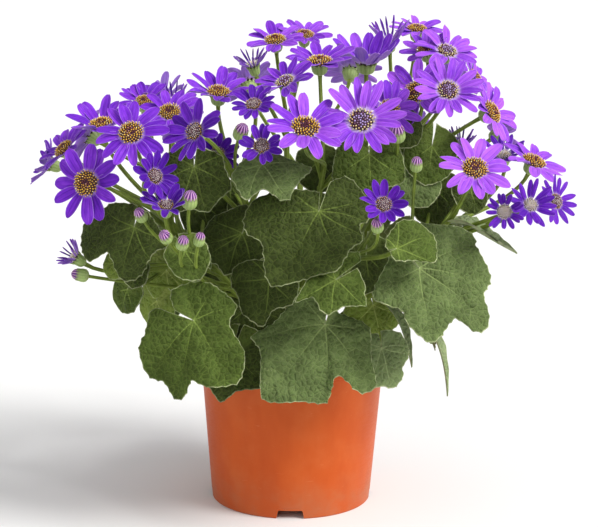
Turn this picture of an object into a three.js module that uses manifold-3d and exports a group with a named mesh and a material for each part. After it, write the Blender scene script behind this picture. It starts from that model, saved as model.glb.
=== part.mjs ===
// A florist's cineraria in its plastic nursery pot, in millimetres: +Z is up, the origin is the middle of
// the pot's underside, and the plant's best side faces -Y. One crown stands in the soil. It carries
// long-stalked lobed leaves low down and, above them, branches that end in flat clusters of daisy-like violet
// heads.
//
// Nodes: the pot, the soil, one green node for everything that grew as stem (crown, branches, flower stalks
// with their green cups, buds, leaf stalks and the smaller leaves), one node for each large leaf blade, and
// one for each bloom, or for two or three blooms whose rays cross.
import * as THREE from "three";
import { mergeVertices } from "three/addons/utils/BufferGeometryUtils.js";
import Module from "manifold-3d";

const wasm = await Module();
wasm.setup();

// ---------------------------------------------------------------- driving dimensions

const POT_HEIGHT = 110;
const POT_FOOT_RADIUS = 55.3;
const POT_BAND_BOTTOM = 98; // the thicker band round the rim starts here
const POT_BAND_RADIUS = 63.3; // outside of the wall just under the band
const POT_RIM_RADIUS = 66;
const POT_RIM_WIDTH = 2;
const POT_WALL = 1.8;
const POT_SEGMENTS = 24;
const FOOT_HEIGHT = 6; // the drainage channel stands this far off the ground
const FLOOR_THICKNESS = 2;
const FOOT_PAD_RADIUS = 26; // round pad in the middle of the underside, down to the ground
const NOTCH_WIDTH = 19.5;
const NOTCH_TAPER = 1.5; // the notch narrows by this on each side towards its top
const NOTCH_DEPTH = 12;
const NOTCH_COUNT = 4;
const DRAIN_HOLE_RADIUS = 3.5;
const DRAIN_HOLE_CIRCLE = 41;
const DRAIN_HOLE_COUNT = 6;

const SOIL_LEVEL = 96;
const SOIL_SEGMENTS = 12;
const SOIL_LUMPS = 1.3; // height of the surface's unevenness
const GAP = 0.3; // between pieces that rest on each other

const CROWN_RADIUS = 6.5;
const CROWN_BOTTOM = 76.3; // the root end, in its hole in the soil
const CROWN_TOP = 112;
const CROWN_TAPER = 0.8; // the crown's ends are this much thinner
const BRANCH_FOOT = 1.1; // a branch's radius at its foot and at its tip, as a share of its given radius
const BRANCH_TIP = 0.7;
const LEAF_STALK_RADIUS = 1.8;
const SMALL_STALK_RADIUS = 1.4;
const FLOWER_STALK_RADIUS = 1.4;
const BUD_STALK_RADIUS = 1.2;
const LONG_STALK = 75; // stalks that span more than this get one more bend
const LEAVING_SHARE = 0.1; // of its span, a stalk keeps to the direction of its branch
const ARRIVING_SHARE = 0.35; // of its span, a stalk already has the direction of what it bears
const STALK_SPACING = 0.05; // between stalks on a flower branch, as a share of the branch

const LEAF_THICKNESS = 0.8;
const SMALL_LEAF_DROOP = 0.18;
const SMALL_LOBED_LENGTH = 27; // shorter leaves are plain pointed ones
const FAN_POINTS = 9; // a blade with more points on its edge than this also has a ring of points inside

const RAY_THICKNESS = 0.7;
const RAY_WIDEST = 0.68; // how far along a ray is widest
const RAY_HALF_WIDTH = 0.165; // as a share of the head's radius, where the rays have room
const RAY_DIP = 0.05; // the tip bends down by this share of the ray
const RAY_UNEVENNESS = 9; // degrees between the highest and lowest rays of a head
const RAY_CLEARANCE = 0.45; // kept between a ray and whatever it is bent clear of
const DISC_SHARE = 0.29; // a head's disc radius as a share of its whole radius
const DISC_LEAST = 5.2;
const DISC_HEIGHT = 2.4;
const FLORET_RING = 0.74; // where the ring of open florets stands on the disc
const CUP_HEIGHT = 8;
const CUP_SHARE = 0.8; // the green cup's radius as a share of the disc's

const RAD = Math.PI / 180;

// ---------------------------------------------------------------- the plant's plan

// Branches from the crown; each ends at the hub where its flower stalks part.
const BRANCHES = {
  left: { path: [[-4, -1, 103], [-34, -14, 144], [-70, -34, 186], [-92, -44, 214]], radius: 2.9 },
  left_front: { path: [[-3, -3, 106], [-26, -32, 138], [-52, -60, 174], [-76, -84, 202]], radius: 2.9 },
  middle_left: { path: [[-2, -2, 110], [-14, -18, 150], [-26, -34, 194], [-36, -50, 232]], radius: 2.6 },
  middle: { path: [[1, -3, 107], [6, -12, 150], [14, -24, 200], [20, -42, 240]], radius: 2.6 },
  middle_right: { path: [[3, -1, 110], [26, -14, 150], [52, -30, 200], [72, -40, 250]], radius: 2.8 },
  right: { path: [[4, -3, 106], [38, -26, 138], [76, -46, 176], [102, -60, 208]], radius: 2.9 },
  front: { path: [[1, -4, 102], [14, -36, 134], [30, -64, 166], [44, -88, 194]], radius: 2.4 },
  back_middle: { path: [[-1, 2, 111], [-4, 14, 160], [-5, 24, 214], [-6, 32, 262]], radius: 2.6 },
  back_right: { path: [[3, 2, 106], [26, 18, 150], [54, 32, 204], [76, 40, 256]], radius: 2.8 },
  back: { path: [[1, 4, 104], [4, 36, 138], [4, 68, 182], [4, 92, 220]], radius: 2.8 },
  back_left: { path: [[-3, 3, 106], [-32, 24, 142], [-64, 40, 184], [-88, 52, 222]], radius: 2.8 },
};

// Heads: centre of the disc's underside x, y, z; which way it faces (0 is -Y, 90 is +X) and its tilt above
// level; outer radius; number of rays; how far the rays lift from flat, in degrees; and the branch it is on.
const BLOOMS = {
  bloom_01: [[7, -105, 273, 5, 55, 27.4, 11, 10, "middle"]],
  bloom_02: [[42, -98, 277, -4, 36, 29.0, 11, 12, "middle_right"]],
  bloom_03: [[114, -95, 247, 8, 44, 25.0, 10, 3, "right"]],
  bloom_04: [[98, -66, 293, 6, 38, 24.5, 10, 16, "middle_right"]],
  bloom_05: [
    [101, -8, 313, 22, 58, 23.5, 10, 4, "back_right"],
    [88, 5, 312, -20, 55, 19.0, 8, 14, "back_right"],
  ],
  bloom_06: [[80, -40, 289, -25, 28, 24.5, 9, 14, "middle_right"]],
  bloom_07: [[128, -45, 277, 60, 30, 23.5, 10, 8, "middle_right"]],
  bloom_08: [[159, -30, 242, 46, 64, 24.5, 9, 2, "right"]],
  bloom_09: [[142, -5, 243, -15, 58, 18.0, 9, 28, "right"]],
  bloom_10: [
    [133, -100, 221, -8, 14, 14.0, 8, 30, "right"],
    [150, -92, 224, 20, 28, 18.0, 8, 26, "right"],
    [168, -77, 224, 42, 16, 17.5, 8, 14, "right"],
  ],
  bloom_11: [[55, -138, 231, 4, 32, 16.5, 8, 31, "front"]],
  bloom_12: [[111, -24, 253, 0, 70, 15.0, 8, 60, "middle_right"]],
  bloom_13: [
    [85, 62, 322, 10, 74, 20.5, 9, 6, "back_right"],
    [65, 49, 315, -20, 75, 21.0, 8, 55, "back_right"],
  ],
  bloom_14: [[48, 8, 304, 0, 77, 29.0, 9, 48, "middle_right"]],
  bloom_15: [[16, -22, 306, -12, 75, 25.2, 10, 15, "middle"]],
  bloom_16: [[-6, -62, 297, -40, 58, 21.8, 9, 10, "middle"]],
  bloom_17: [
    [-14, 25, 316, -10, 66, 21.9, 9, 8, "back_middle"],
    [6, 37, 319, 10, 68, 19.0, 9, 10, "back_middle"],
  ],
  bloom_18: [[-29, 10, 301, -40, 66, 15.5, 8, 50, "back_middle"]],
  bloom_19: [[-26, -78, 284, -10, 52, 16.0, 8, 16, "middle_left"]],
  bloom_20: [[-20, -110, 262, -8, 30, 14.5, 8, 18, "middle_left"]],
  bloom_21: [[-50, -42, 287, 8, 68, 23.5, 9, 20, "middle_left"]],
  bloom_22: [[-61, -112, 271, -35, 26, 21.5, 9, 14, "middle_left"]],
  bloom_23: [[-80, -68, 277, 0, 52, 21.8, 9, 8, "left_front"]],
  bloom_24: [[-101, -108, 269, -5, 38, 24.0, 10, -2, "left_front"]],
  bloom_25: [[-124, -66, 268, -22, 66, 23.7, 9, 30, "left"]],
  bloom_26: [[-129, -105, 237, -22, 8, 25.7, 10, 2, "left_front"]],
  bloom_27: [
    [-150, -50, 250, -62, 44, 21.4, 9, 10, "left"],
    [-163, -27, 237, -80, 22, 18.9, 8, 30, "left"],
  ],
  bloom_28: [
    [-104, 8, 276, -10, 74, 17.0, 8, 30, "left"],
    [-83, 6, 276, 5, 74, 16.5, 8, 60, "left"],
    [-101, -10, 277, -10, 60, 19.0, 8, 14, "left"],
  ],
  bloom_29: [
    [-86, -120, 244, 36, 20, 17.0, 8, 20, "left_front"],
    [-78, -129, 227, 5, 62, 17.0, 8, 26, "left_front"],
  ],
  bloom_30: [[61, -56, 279, 18, 30, 22.0, 9, 6, "middle"]],
  bloom_31: [[123, 22, 293, 70, 35, 18.0, 9, 14, "back_right"]],
  bloom_32: [[-141, -78, 184, -70, 35, 13.5, 8, 52, "left_front"]],
  bloom_33: [[112, 78, 284, 140, 42, 23.5, 8, 8, "back_right"]],
  bloom_34: [[40, 104, 288, 172, 40, 24.0, 8, 10, "back"]],
  bloom_35: [[-34, 98, 278, -164, 42, 24.0, 8, 8, "back"]],
  bloom_36: [
    [-96, 78, 268, -140, 38, 23.0, 8, 12, "back_left"],
    [-85, 103, 250, -150, 22, 22.0, 8, 10, "back_left"],
  ],
  bloom_37: [[-142, 32, 248, -108, 30, 22.0, 8, 8, "back_left"]],
  bloom_38: [[144, 44, 252, 108, 34, 23.0, 8, 10, "back_right"]],
  bloom_39: [[80, 128, 246, 152, 20, 22.0, 8, 12, "back"]],
  bloom_40: [[-49, -72, 251, -10, 20, 15.5, 8, 14, "middle_left"]],
};

// Closed buds: x, y, z of the bud's foot, facing, tilt, length, branch.
const BUDS = [
  [66, -78, 262, -10, 60, 13, "middle_right"],
  [77, -92, 245, 10, 70, 10, "right"],
  [52, -134, 214, -10, 55, 10, "front"],
  [-64, -129, 226, 20, 70, 12, "left_front"],
  [-92, -128, 218, -30, 50, 10, "left_front"],
  [-76, -142, 208, -20, 40, 10, "left_front"],
  [-68, -140, 203, 20, 55, 10, "left_front"],
  [-58, -136, 204, 40, 70, 9, "left_front"],
  [-35, -90, 264, 30, 55, 12, "middle_left"],
  [-132, -80, 172, -95, 8, 11, "left_front"],
];

// Leaf blades. `at` is the junction of stalk and blade; `facing` and `tilt` say where the upper face looks,
// as for the heads; `turn` swings the midrib from straight down towards the right of someone looking at that
// face. `edge` is the outline from one side of the basal notch round the tip to the other: degrees from the
// midrib and the reach in millimetres. `droop` lowers the rim and `seed` varies the waves. Each blade's stalk
// leaves `branch` at `share` of its length.
const LARGE_LEAVES = {
  leaf_01: {
    at: [21, -98, 146], facing: 0, tilt: 30, turn: -12,
    droop: 0.16, seed: 3, branch: "front", share: 0.45,
    edge: [
      [-150, 19], [-134, 24], [-97, 28], [-79, 35], [-70, 48], [-53, 45], [-28, 62], [-6, 52], [14, 50],
      [22, 36], [31, 37], [40, 49], [54, 50], [66, 37], [98, 29], [118, 18], [148, 12],
    ],
  },
  leaf_02: {
    at: [-62, -112, 151], facing: -12, tilt: 18, turn: 68,
    droop: 0.12, seed: 5, branch: "left_front", share: 0.55,
    edge: [
      [-174, 24], [-166, 30], [-142, 32], [-129, 40], [-110, 46], [-101, 46], [-91, 44], [-80, 51], [-71, 48],
      [-66, 38], [-52, 43], [-28, 48], [-5, 38], [22, 23], [46, 29], [90, 26], [122, 25], [156, 24],
      [178, 14],
    ],
  },
  leaf_03: {
    at: [80, -105, 185], facing: 14, tilt: 34, turn: 36,
    droop: 0.14, seed: 7, branch: "right", share: 0.7,
    edge: [
      [-153, 20], [-125, 24], [-97, 37], [-66, 32], [-57, 38], [-37, 48], [-24, 45], [-6, 39], [1, 52],
      [10, 57], [20, 53], [31, 45], [46, 49], [70, 43], [80, 47], [95, 44], [132, 32],
    ],
  },
  leaf_04: {
    at: [16, -112, 222], facing: -4, tilt: 28, turn: -5,
    droop: 0.16, seed: 11, branch: "middle", share: 0.75,
    edge: [
      [-160, 14], [-115, 27], [-96, 42], [-80, 48], [-66, 47], [-54, 41], [-39, 48], [-26, 54], [-3, 43],
      [24, 40], [48, 31], [64, 33], [77, 27], [88, 32], [113, 32], [147, 29], [166, 20],
    ],
  },
  leaf_05: {
    at: [-20, -98, 249], facing: -4, tilt: 48, turn: 10,
    droop: 0.2, seed: 13, branch: "middle_left", share: 0.8,
    edge: [
      [-140, 12], [-80, 20], [-55, 22], [-32, 26], [-18, 22], [0, 20], [17, 29], [29, 30], [44, 26],
      [76, 29], [86, 31], [93, 22], [130, 13],
    ],
  },
  leaf_06: {
    at: [-101, -92, 207], facing: -20, tilt: 22, turn: -5,
    droop: 0.14, seed: 17, branch: "left_front", share: 0.8,
    edge: [
      [-157, 16], [-123, 23], [-105, 28], [-94, 34], [-85, 40], [-68, 41], [-44, 38], [-37, 24], [-14, 30],
      [0, 35], [13, 34], [26, 30], [38, 24], [57, 22], [74, 27], [100, 17], [150, 13],
    ],
  },
  leaf_07: {
    at: [-63, -92, 246], facing: -8, tilt: 20, turn: 0,
    droop: 0.14, seed: 19, branch: "middle_left", share: 0.7,
    edge: [
      [-150, 16], [-115, 20], [-90, 22], [-65, 27], [-40, 25], [-20, 30], [0, 27], [20, 30], [40, 26],
      [65, 27], [90, 20], [115, 19], [150, 14],
    ],
  },
  leaf_08: {
    at: [-33, -73, 200], facing: -10, tilt: 24, turn: -20,
    droop: 0.14, seed: 23, branch: "middle_left", share: 0.5,
    edge: [
      [-155, 20], [-112, 20], [-94, 24], [-72, 26], [-54, 29], [-32, 29], [-16, 26], [-2, 29], [12, 25],
      [24, 20], [44, 22], [68, 21], [99, 18], [130, 18], [152, 16],
    ],
  },
  leaf_09: {
    at: [-15, -90, 174], facing: 0, tilt: 22, turn: -15,
    droop: 0.14, seed: 29, branch: "front", share: 0.55,
    edge: [
      [-150, 12], [-123, 17], [-93, 24], [-66, 25], [-46, 23], [-24, 28], [-3, 30], [9, 31], [19, 22],
      [34, 20], [56, 22], [90, 20], [135, 16],
    ],
  },
  leaf_10: {
    at: [27, -124, 181], facing: 4, tilt: 34, turn: -55,
    droop: 0.16, seed: 31, branch: "front", share: 0.75,
    edge: [
      [-163, 25], [-144, 20], [-105, 16], [-70, 17], [-41, 17], [-8, 29], [0, 19], [23, 21], [41, 23],
      [70, 18], [102, 25], [118, 20], [135, 19],
    ],
  },
  leaf_11: {
    at: [64, -128, 202], facing: 22, tilt: 36, turn: 105,
    droop: 0.12, seed: 37, branch: "front", share: 0.9,
    edge: [
      [-140, 7], [-100, 9], [-60, 12], [-45, 20], [-37, 27], [-20, 29], [0, 32], [14, 29], [30, 26],
      [52, 21], [70, 14], [110, 9], [145, 7],
    ],
  },
  leaf_12: {
    at: [58, -86, 128], facing: 20, tilt: 30, turn: -5,
    droop: 0.2, seed: 41, branch: "right", share: 0.3,
    edge: [
      [-145, 12], [-110, 18], [-70, 20], [-42, 24], [-24, 29], [-5, 25], [15, 27], [40, 23], [48, 19],
      [75, 20], [99, 20], [124, 19], [151, 14],
    ],
  },
  leaf_13: {
    at: [98, 58, 166], facing: 124, tilt: 26, turn: 8,
    droop: 0.16, seed: 43, branch: "back_right", share: 0.5,
    edge: lobedEdge(50),
  },
  leaf_14: {
    at: [30, 106, 178], facing: 172, tilt: 28, turn: -10,
    droop: 0.16, seed: 47, branch: "back", share: 0.6,
    edge: lobedEdge(52),
  },
  leaf_15: {
    at: [-58, 96, 160], facing: -150, tilt: 24, turn: 8,
    droop: 0.16, seed: 53, branch: "back_left", share: 0.5,
    edge: lobedEdge(50),
  },
  leaf_16: {
    at: [-106, 30, 180], facing: -106, tilt: 26, turn: -6,
    droop: 0.16, seed: 59, branch: "back_left", share: 0.6,
    edge: lobedEdge(48),
  },
  leaf_17: {
    at: [116, -16, 180], facing: 80, tilt: 26, turn: 10,
    droop: 0.16, seed: 61, branch: "right", share: 0.55,
    edge: lobedEdge(46),
  },
};

// Smaller leaves, which stay in one piece with the stems: the junction, facing, tilt, turn, size, seed,
// branch and share, as for the large ones.
const SMALL_LEAVES = [
  [[-39, -60, 118], -14, 36, -8, 34, 67, "left_front", 0.25],
  [[48, -74, 253], 4, 24, 0, 30, 71, "middle", 0.85],
  [[90, -48, 255], 10, 14, -10, 26, 73, "middle_right", 0.85],
  [[-83, -58, 172], -24, 0, 0, 26, 79, "left_front", 0.5],
  [[-90, -52, 150], -40, 4, -10, 24, 83, "left", 0.4],
  [[-107, -76, 163], -36, 8, -25, 18, 109, "left", 0.7],
  [[54, -34, 145], 24, 10, 10, 29, 89, "right", 0.4],
  [[-43, -20, 222], 0, 10, 0, 18, 113, "middle_left", 0.75],
  [[-43, -32, 165], -10, 14, 10, 26, 127, "left_front", 0.45],
  [[-28, -44, 146], 0, 16, 8, 30, 131, "middle_left", 0.2],
  [[-60, -48, 215], -10, 16, 10, 24, 137, "left_front", 0.8],
  [[-67, -122, 198], -10, 24, 32, 20, 139, "left_front", 0.85],
  [[-101, -84, 179], -20, 14, -10, 14, 149, "left_front", 0.7],
  [[-108, -88, 184], -30, 30, -80, 18, 179, "left_front", 0.75],
  [[69, -54, 270], 10, 10, 40, 18, 151, "middle_right", 0.9],
  [[78, -48, 239], 14, 24, 20, 26, 157, "middle_right", 0.8],
  [[116, -44, 227], 14, 20, 10, 18, 163, "right", 0.9],
  [[48, -58, 184], 6, 14, 0, 26, 167, "middle", 0.45],
  [[95, -30, 223], 10, 12, 0, 26, 173, "right", 0.8],
  [[16, -26, 241], 4, 14, 0, 22, 181, "middle", 0.8],
  [[4, 82, 134], 180, 40, 0, 40, 97, "back", 0.3],
  [[-80, -2, 136], -90, 36, 0, 38, 101, "left", 0.25],
  [[82, 20, 132], 100, 40, 0, 38, 103, "back_right", 0.25],
].map(([at, facing, tilt, turn, size, seed, branch, share]) => {
  return { at, facing, tilt, turn, size, seed, branch, share };
});

// Narrow stalkless leaves: branch, share of its length where they sit, where they point (facing, tilt),
// length, half width as a share of it.
const NARROW_LEAVES = [
  ["right", 0.99, 68, -10, 36, 0.26],
  ["right", 0.97, 82, -12, 50, 0.24],
  ["right", 0.6, 30, 10, 26, 0.28],
  ["left_front", 0.9, 44, -24, 26, 0.28],
  ["left_front", 0.97, 4, -14, 22, 0.28],
  ["right", 0.62, 71, -56, 88, 0.09],
  ["right", 0.5, 65, -51, 56, 0.12],
];

// ---------------------------------------------------------------- helpers

// A repeatable stream of numbers from 0 to 1.
function draws(seed) {
  let state = seed * 7919 + 17;
  return () => {
    state = (state * 1664525 + 1013904223) % 4294967296;
    return state / 4294967296;
  };
}

// The unit vector that faces `facing` degrees round from -Y towards +X, tilted above level.
function direction(facing, tilt) {
  const a = facing * RAD;
  const t = tilt * RAD;
  return new THREE.Vector3(Math.sin(a) * Math.cos(t), -Math.cos(a) * Math.cos(t), Math.sin(t));
}

function solidOf(geometry) {
  const bare = geometry.clone();
  bare.deleteAttribute("normal");
  bare.deleteAttribute("uv");
  const merged = mergeVertices(bare, 1e-4);
  return new wasm.Manifold(
    new wasm.Mesh({
      numProp: 3,
      vertProperties: new Float32Array(merged.attributes.position.array),
      triVerts: new Uint32Array(merged.index.array),
    }),
  );
}

// A solid from a list of THREE.Vector3 and a list of [a, b, c].
function solidFrom(points, triangles) {
  return new wasm.Manifold(
    new wasm.Mesh({
      numProp: 3,
      vertProperties: new Float32Array(points.flatMap((p) => [p.x, p.y, p.z])),
      triVerts: new Uint32Array(triangles.flat()),
    }),
  );
}

function geometryOf(solid, anchor) {
  const mesh = solid.getMesh();
  const flat = new Float32Array(mesh.numVert * 3);
  for (let i = 0; i < mesh.numVert; i++) {
    for (let k = 0; k < 3; k++) flat[3 * i + k] = mesh.vertProperties[mesh.numProp * i + k] - anchor[k];
  }
  const geometry = new THREE.BufferGeometry();
  geometry.setAttribute("position", new THREE.BufferAttribute(flat, 3));
  geometry.setIndex(new THREE.BufferAttribute(new Uint32Array(mesh.triVerts), 1));
  geometry.computeVertexNormals();
  return geometry;
}

function unionOf(solids) {
  return wasm.Manifold.union(solids);
}

// The walls between a top and a bottom copy of an outline that runs anticlockwise seen from above.
function wallsOf(outline, bottomOf) {
  return outline.flatMap((a, i) => {
    const b = outline[(i + 1) % outline.length];
    return [
      [bottomOf(a), bottomOf(b), b],
      [bottomOf(a), b, a],
    ];
  });
}

// Faces of a blade of five points: two at its foot, two where it is widest, and the tip between those.
const KITE = [[0, 1, 3], [0, 3, 4], [1, 2, 3]];

// A sheet given by its middle surface, made into a solid of even thickness along one axis. The faces and the
// rim run anticlockwise seen from the side that the axis points to.
function thickened(middle, faces, rim, axis, thickness) {
  const bottomOf = (i) => i + middle.length;
  const points = [
    ...middle.map((p) => p.clone().addScaledVector(axis, thickness / 2)),
    ...middle.map((p) => p.clone().addScaledVector(axis, -thickness / 2)),
  ];
  const under = faces.map((face) => face.map(bottomOf).reverse());
  return solidFrom(points, [...faces, ...under, ...wallsOf(rim, bottomOf)]);
}

// A round-ish bar along points, with a radius and a number of corners at each, closed by flat ends. From one
// point to the next the number of corners stays or doubles. The last end is squared to `endAlong` if given.
function sweep(points, radii, corners, endAlong) {
  const final = points.length - 1;
  const tangentAt = (i) => {
    if (i === final && endAlong) return endAlong.clone();
    return points[Math.min(i + 1, final)].clone().sub(points[Math.max(i - 1, 0)]).normalize();
  };
  let across = new THREE.Vector3(0, 0, 1).cross(tangentAt(0));
  if (across.length() < 0.1) across = new THREE.Vector3(1, 0, 0);
  const vertices = [];
  const rings = points.map((point, i) => {
    const along = tangentAt(i);
    across.addScaledVector(along, -across.dot(along)).normalize();
    const other = along.clone().cross(across);
    return Array.from({ length: corners[i] }, (_, k) => {
      const a = (2 * Math.PI * k) / corners[i];
      const corner = point.clone().addScaledVector(across, radii[i] * Math.cos(a));
      return vertices.push(corner.addScaledVector(other, radii[i] * Math.sin(a))) - 1;
    });
  });
  const triangles = [];
  for (let i = 0; i < final; i++) {
    const [near, far] = [rings[i], rings[i + 1]];
    const ratio = far.length / near.length;
    near.forEach((a, k) => {
      const b = near[(k + 1) % near.length];
      const beyondA = far[k * ratio];
      const beyondB = far[((k + 1) * ratio) % far.length];
      const middle = ratio === 2 ? far[2 * k + 1] : beyondB;
      triangles.push([a, b, middle], [a, middle, beyondA]);
      if (ratio === 2) triangles.push([b, beyondB, middle]);
    });
  }
  for (let k = 1; k < rings[0].length - 1; k++) triangles.push([rings[0][0], rings[0][k + 1], rings[0][k]]);
  const end = rings[final];
  for (let k = 1; k < end.length - 1; k++) triangles.push([end[0], end[k], end[k + 1]]);
  return solidFrom(vertices, triangles);
}

// ---------------------------------------------------------------- pot and soil

// Radius of the tapered wall's inner face at a height.
function potInside(z) {
  return POT_FOOT_RADIUS - POT_WALL + ((POT_BAND_RADIUS - POT_FOOT_RADIUS) * z) / POT_BAND_BOTTOM;
}

function potSolid() {
  const floorTop = FOOT_HEIGHT + FLOOR_THICKNESS;
  const profile = [
    [0, 0],
    [FOOT_PAD_RADIUS, 0],
    [FOOT_PAD_RADIUS + 2, FOOT_HEIGHT],
    [potInside(FOOT_HEIGHT), FOOT_HEIGHT],
    [potInside(0), 0],
    [POT_FOOT_RADIUS - 0.8, 0],
    [POT_FOOT_RADIUS, 1.2],
    [POT_BAND_RADIUS, POT_BAND_BOTTOM],
    [POT_RIM_RADIUS - 0.8, POT_BAND_BOTTOM + 0.8],
    [POT_RIM_RADIUS, POT_HEIGHT],
    [POT_RIM_RADIUS - POT_RIM_WIDTH, POT_HEIGHT],
    [potInside(POT_BAND_BOTTOM), POT_BAND_BOTTOM],
    [potInside(floorTop), floorTop],
    [FOOT_PAD_RADIUS + 4, floorTop],
    [FOOT_PAD_RADIUS + 1, FLOOR_THICKNESS],
    [0, FLOOR_THICKNESS],
  ].map(([r, z]) => new THREE.Vector2(r, z));
  const lathe = new THREE.LatheGeometry(profile, POT_SEGMENTS);
  lathe.rotateX(Math.PI / 2); // the profile's height becomes +Z
  let pot = solidOf(lathe);

  const half = NOTCH_WIDTH / 2;
  const notchShape = new THREE.Shape([
    new THREE.Vector2(-half, -2),
    new THREE.Vector2(half, -2),
    new THREE.Vector2(half - NOTCH_TAPER, FOOT_HEIGHT),
    new THREE.Vector2(-half + NOTCH_TAPER, FOOT_HEIGHT),
  ]);
  const notch = new THREE.ExtrudeGeometry(notchShape, { depth: NOTCH_DEPTH, bevelEnabled: false });
  notch.rotateX(Math.PI / 2); // upright, running along -Y
  notch.translate(0, -POT_FOOT_RADIUS + NOTCH_DEPTH / 2, 0);
  for (let k = 0; k < NOTCH_COUNT; k++) {
    pot = pot.subtract(solidOf(notch.clone().rotateZ((2 * Math.PI * k) / NOTCH_COUNT)));
  }

  const hole = new THREE.CylinderGeometry(DRAIN_HOLE_RADIUS, DRAIN_HOLE_RADIUS, 3 * FLOOR_THICKNESS, 6);
  hole.rotateX(Math.PI / 2);
  hole.translate(DRAIN_HOLE_CIRCLE, 0, FOOT_HEIGHT + FLOOR_THICKNESS / 2);
  for (let k = 0; k < DRAIN_HOLE_COUNT; k++) {
    pot = pot.subtract(solidOf(hole.clone().rotateZ((2 * Math.PI * (k + 0.5)) / DRAIN_HOLE_COUNT)));
  }
  return pot;
}

function soilSolid() {
  const fit = (z) => potInside(z) - GAP - 0.1;
  const floorTop = FOOT_HEIGHT + FLOOR_THICKNESS + GAP;
  const profile = [
    [0, FLOOR_THICKNESS + GAP],
    [FOOT_PAD_RADIUS + 0.4, FLOOR_THICKNESS + GAP],
    [FOOT_PAD_RADIUS + 3.4, floorTop],
    [fit(floorTop), floorTop],
    [fit(SOIL_LEVEL - 2), SOIL_LEVEL - 2],
    [50, SOIL_LEVEL],
    [30, SOIL_LEVEL],
    [0, SOIL_LEVEL + 2],
  ].map(([r, z]) => new THREE.Vector2(r, z));
  const lathe = new THREE.LatheGeometry(profile, SOIL_SEGMENTS);
  lathe.rotateX(Math.PI / 2);
  const position = lathe.attributes.position;
  for (let i = 0; i < position.count; i++) {
    const [x, y, z] = [position.getX(i), position.getY(i), position.getZ(i)];
    if (z < SOIL_LEVEL - 1 || Math.hypot(x, y) < 1) continue;
    const lumps = Math.sin(x * 0.31 + 1.2) * Math.cos(y * 0.27) + 0.6 * Math.sin(x * 0.13 - y * 0.21);
    position.setZ(i, z + SOIL_LUMPS * lumps);
  }
  const holeDepth = 40;
  const holeRadius = CROWN_RADIUS + 0.55; // its flats stay clear of the crown's corners
  const hole = new THREE.CylinderGeometry(holeRadius, holeRadius, holeDepth, 12);
  hole.rotateX(Math.PI / 2);
  hole.translate(0, 0, CROWN_BOTTOM - GAP + holeDepth / 2);
  return solidOf(lathe).subtract(solidOf(hole));
}

// ---------------------------------------------------------------- leaves

// The outline of a regular blade whose tip is `length` from the junction, from the points of one half.
function regularEdge(half, length) {
  const whole = [...half.map(([a, r]) => [-a, r]).reverse(), [0, 1], ...half];
  return whole.map(([a, r]) => [a, length * r]);
}

function lobedEdge(length) {
  return regularEdge([[20, 0.82], [44, 0.96], [68, 0.76], [94, 0.86], [122, 0.66], [152, 0.56]], length);
}

function smallEdge(length) {
  const plain = [[44, 0.86], [110, 0.7]];
  const lobed = [[24, 0.82], [54, 0.95], [86, 0.74], [132, 0.7]];
  return regularEdge(length > SMALL_LOBED_LENGTH ? lobed : plain, length);
}

// Height of a blade over its flat plane at a distance from the junction, for a blade of the given size.
function bladeHeight(distance, angle, size, droop, phase) {
  const reach = distance / size;
  return size * reach * reach * (-droop + 0.05 * Math.sin(3 * angle + phase) + 0.03 * Math.sin(5 * angle));
}

function leafBlade({ at, facing, tilt, turn, droop, seed, edge }) {
  const normal = direction(facing, tilt);
  const down = new THREE.Vector3(0, 0, -1).addScaledVector(normal, normal.z).normalize();
  const side = normal.clone().cross(down);
  const midrib = down.clone().multiplyScalar(Math.cos(turn * RAD));
  midrib.addScaledVector(side, Math.sin(turn * RAD));
  const across = normal.clone().cross(midrib);
  const origin = new THREE.Vector3(...at);
  const size = Math.max(...edge.map(([, reach]) => reach));
  const phase = 2 * Math.PI * draws(seed)();
  const place = (degrees, distance) => {
    const angle = degrees * RAD;
    return origin
      .clone()
      .addScaledVector(midrib, distance * Math.cos(angle))
      .addScaledVector(across, distance * Math.sin(angle))
      .addScaledVector(normal, bladeHeight(distance, angle, size, droop, phase));
  };

  const outer = (i) => 1 + i;
  const top = [origin.clone(), ...edge.map(([degrees, reach]) => place(degrees, reach))];
  if (edge.length <= FAN_POINTS) {
    const fan = edge.slice(1).map((_, i) => [0, outer(i), outer(i + 1)]);
    return thickened(top, fan, top.map((_, i) => i), normal, LEAF_THICKNESS);
  }

  const inner = (j) => 1 + edge.length + j;
  const innerCount = (edge.length + 1) / 2;
  for (let j = 0; j < innerCount; j++) {
    const [degrees, reach] = edge[2 * j];
    top.push(place(degrees, 0.5 * reach));
  }
  const faces = [];
  for (let j = 0; j < innerCount - 1; j++) {
    faces.push([inner(j), outer(2 * j), outer(2 * j + 1)]);
    faces.push([inner(j), outer(2 * j + 1), inner(j + 1)]);
    faces.push([inner(j + 1), outer(2 * j + 1), outer(2 * j + 2)]);
    faces.push([0, inner(j), inner(j + 1)]);
  }
  const rim = [0, inner(0), ...edge.map((_, i) => outer(i)), inner(innerCount - 1)];
  return thickened(top, faces, rim, normal, LEAF_THICKNESS);
}

function narrowLeaf([branch, share, facing, tilt, length, halfWidth]) {
  const foot = curveOf(branch).getPointAt(share);
  const along = direction(facing, tilt);
  const side = new THREE.Vector3(0, 0, 1).cross(along).normalize();
  const up = along.clone().cross(side).normalize();
  const rim = [
    [0, -0.2, 0], [0.5, -1, 0.04], [1, 0, -0.12], [0.5, 1, 0.04], [0, 0.2, 0],
  ];
  const top = rim.map(([a, s, h]) =>
    foot
      .clone()
      .addScaledVector(along, length * a)
      .addScaledVector(side, length * halfWidth * s)
      .addScaledVector(up, length * h),
  );
  return thickened(top, KITE, top.map((_, i) => i), up, LEAF_THICKNESS);
}

// ---------------------------------------------------------------- heads

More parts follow.
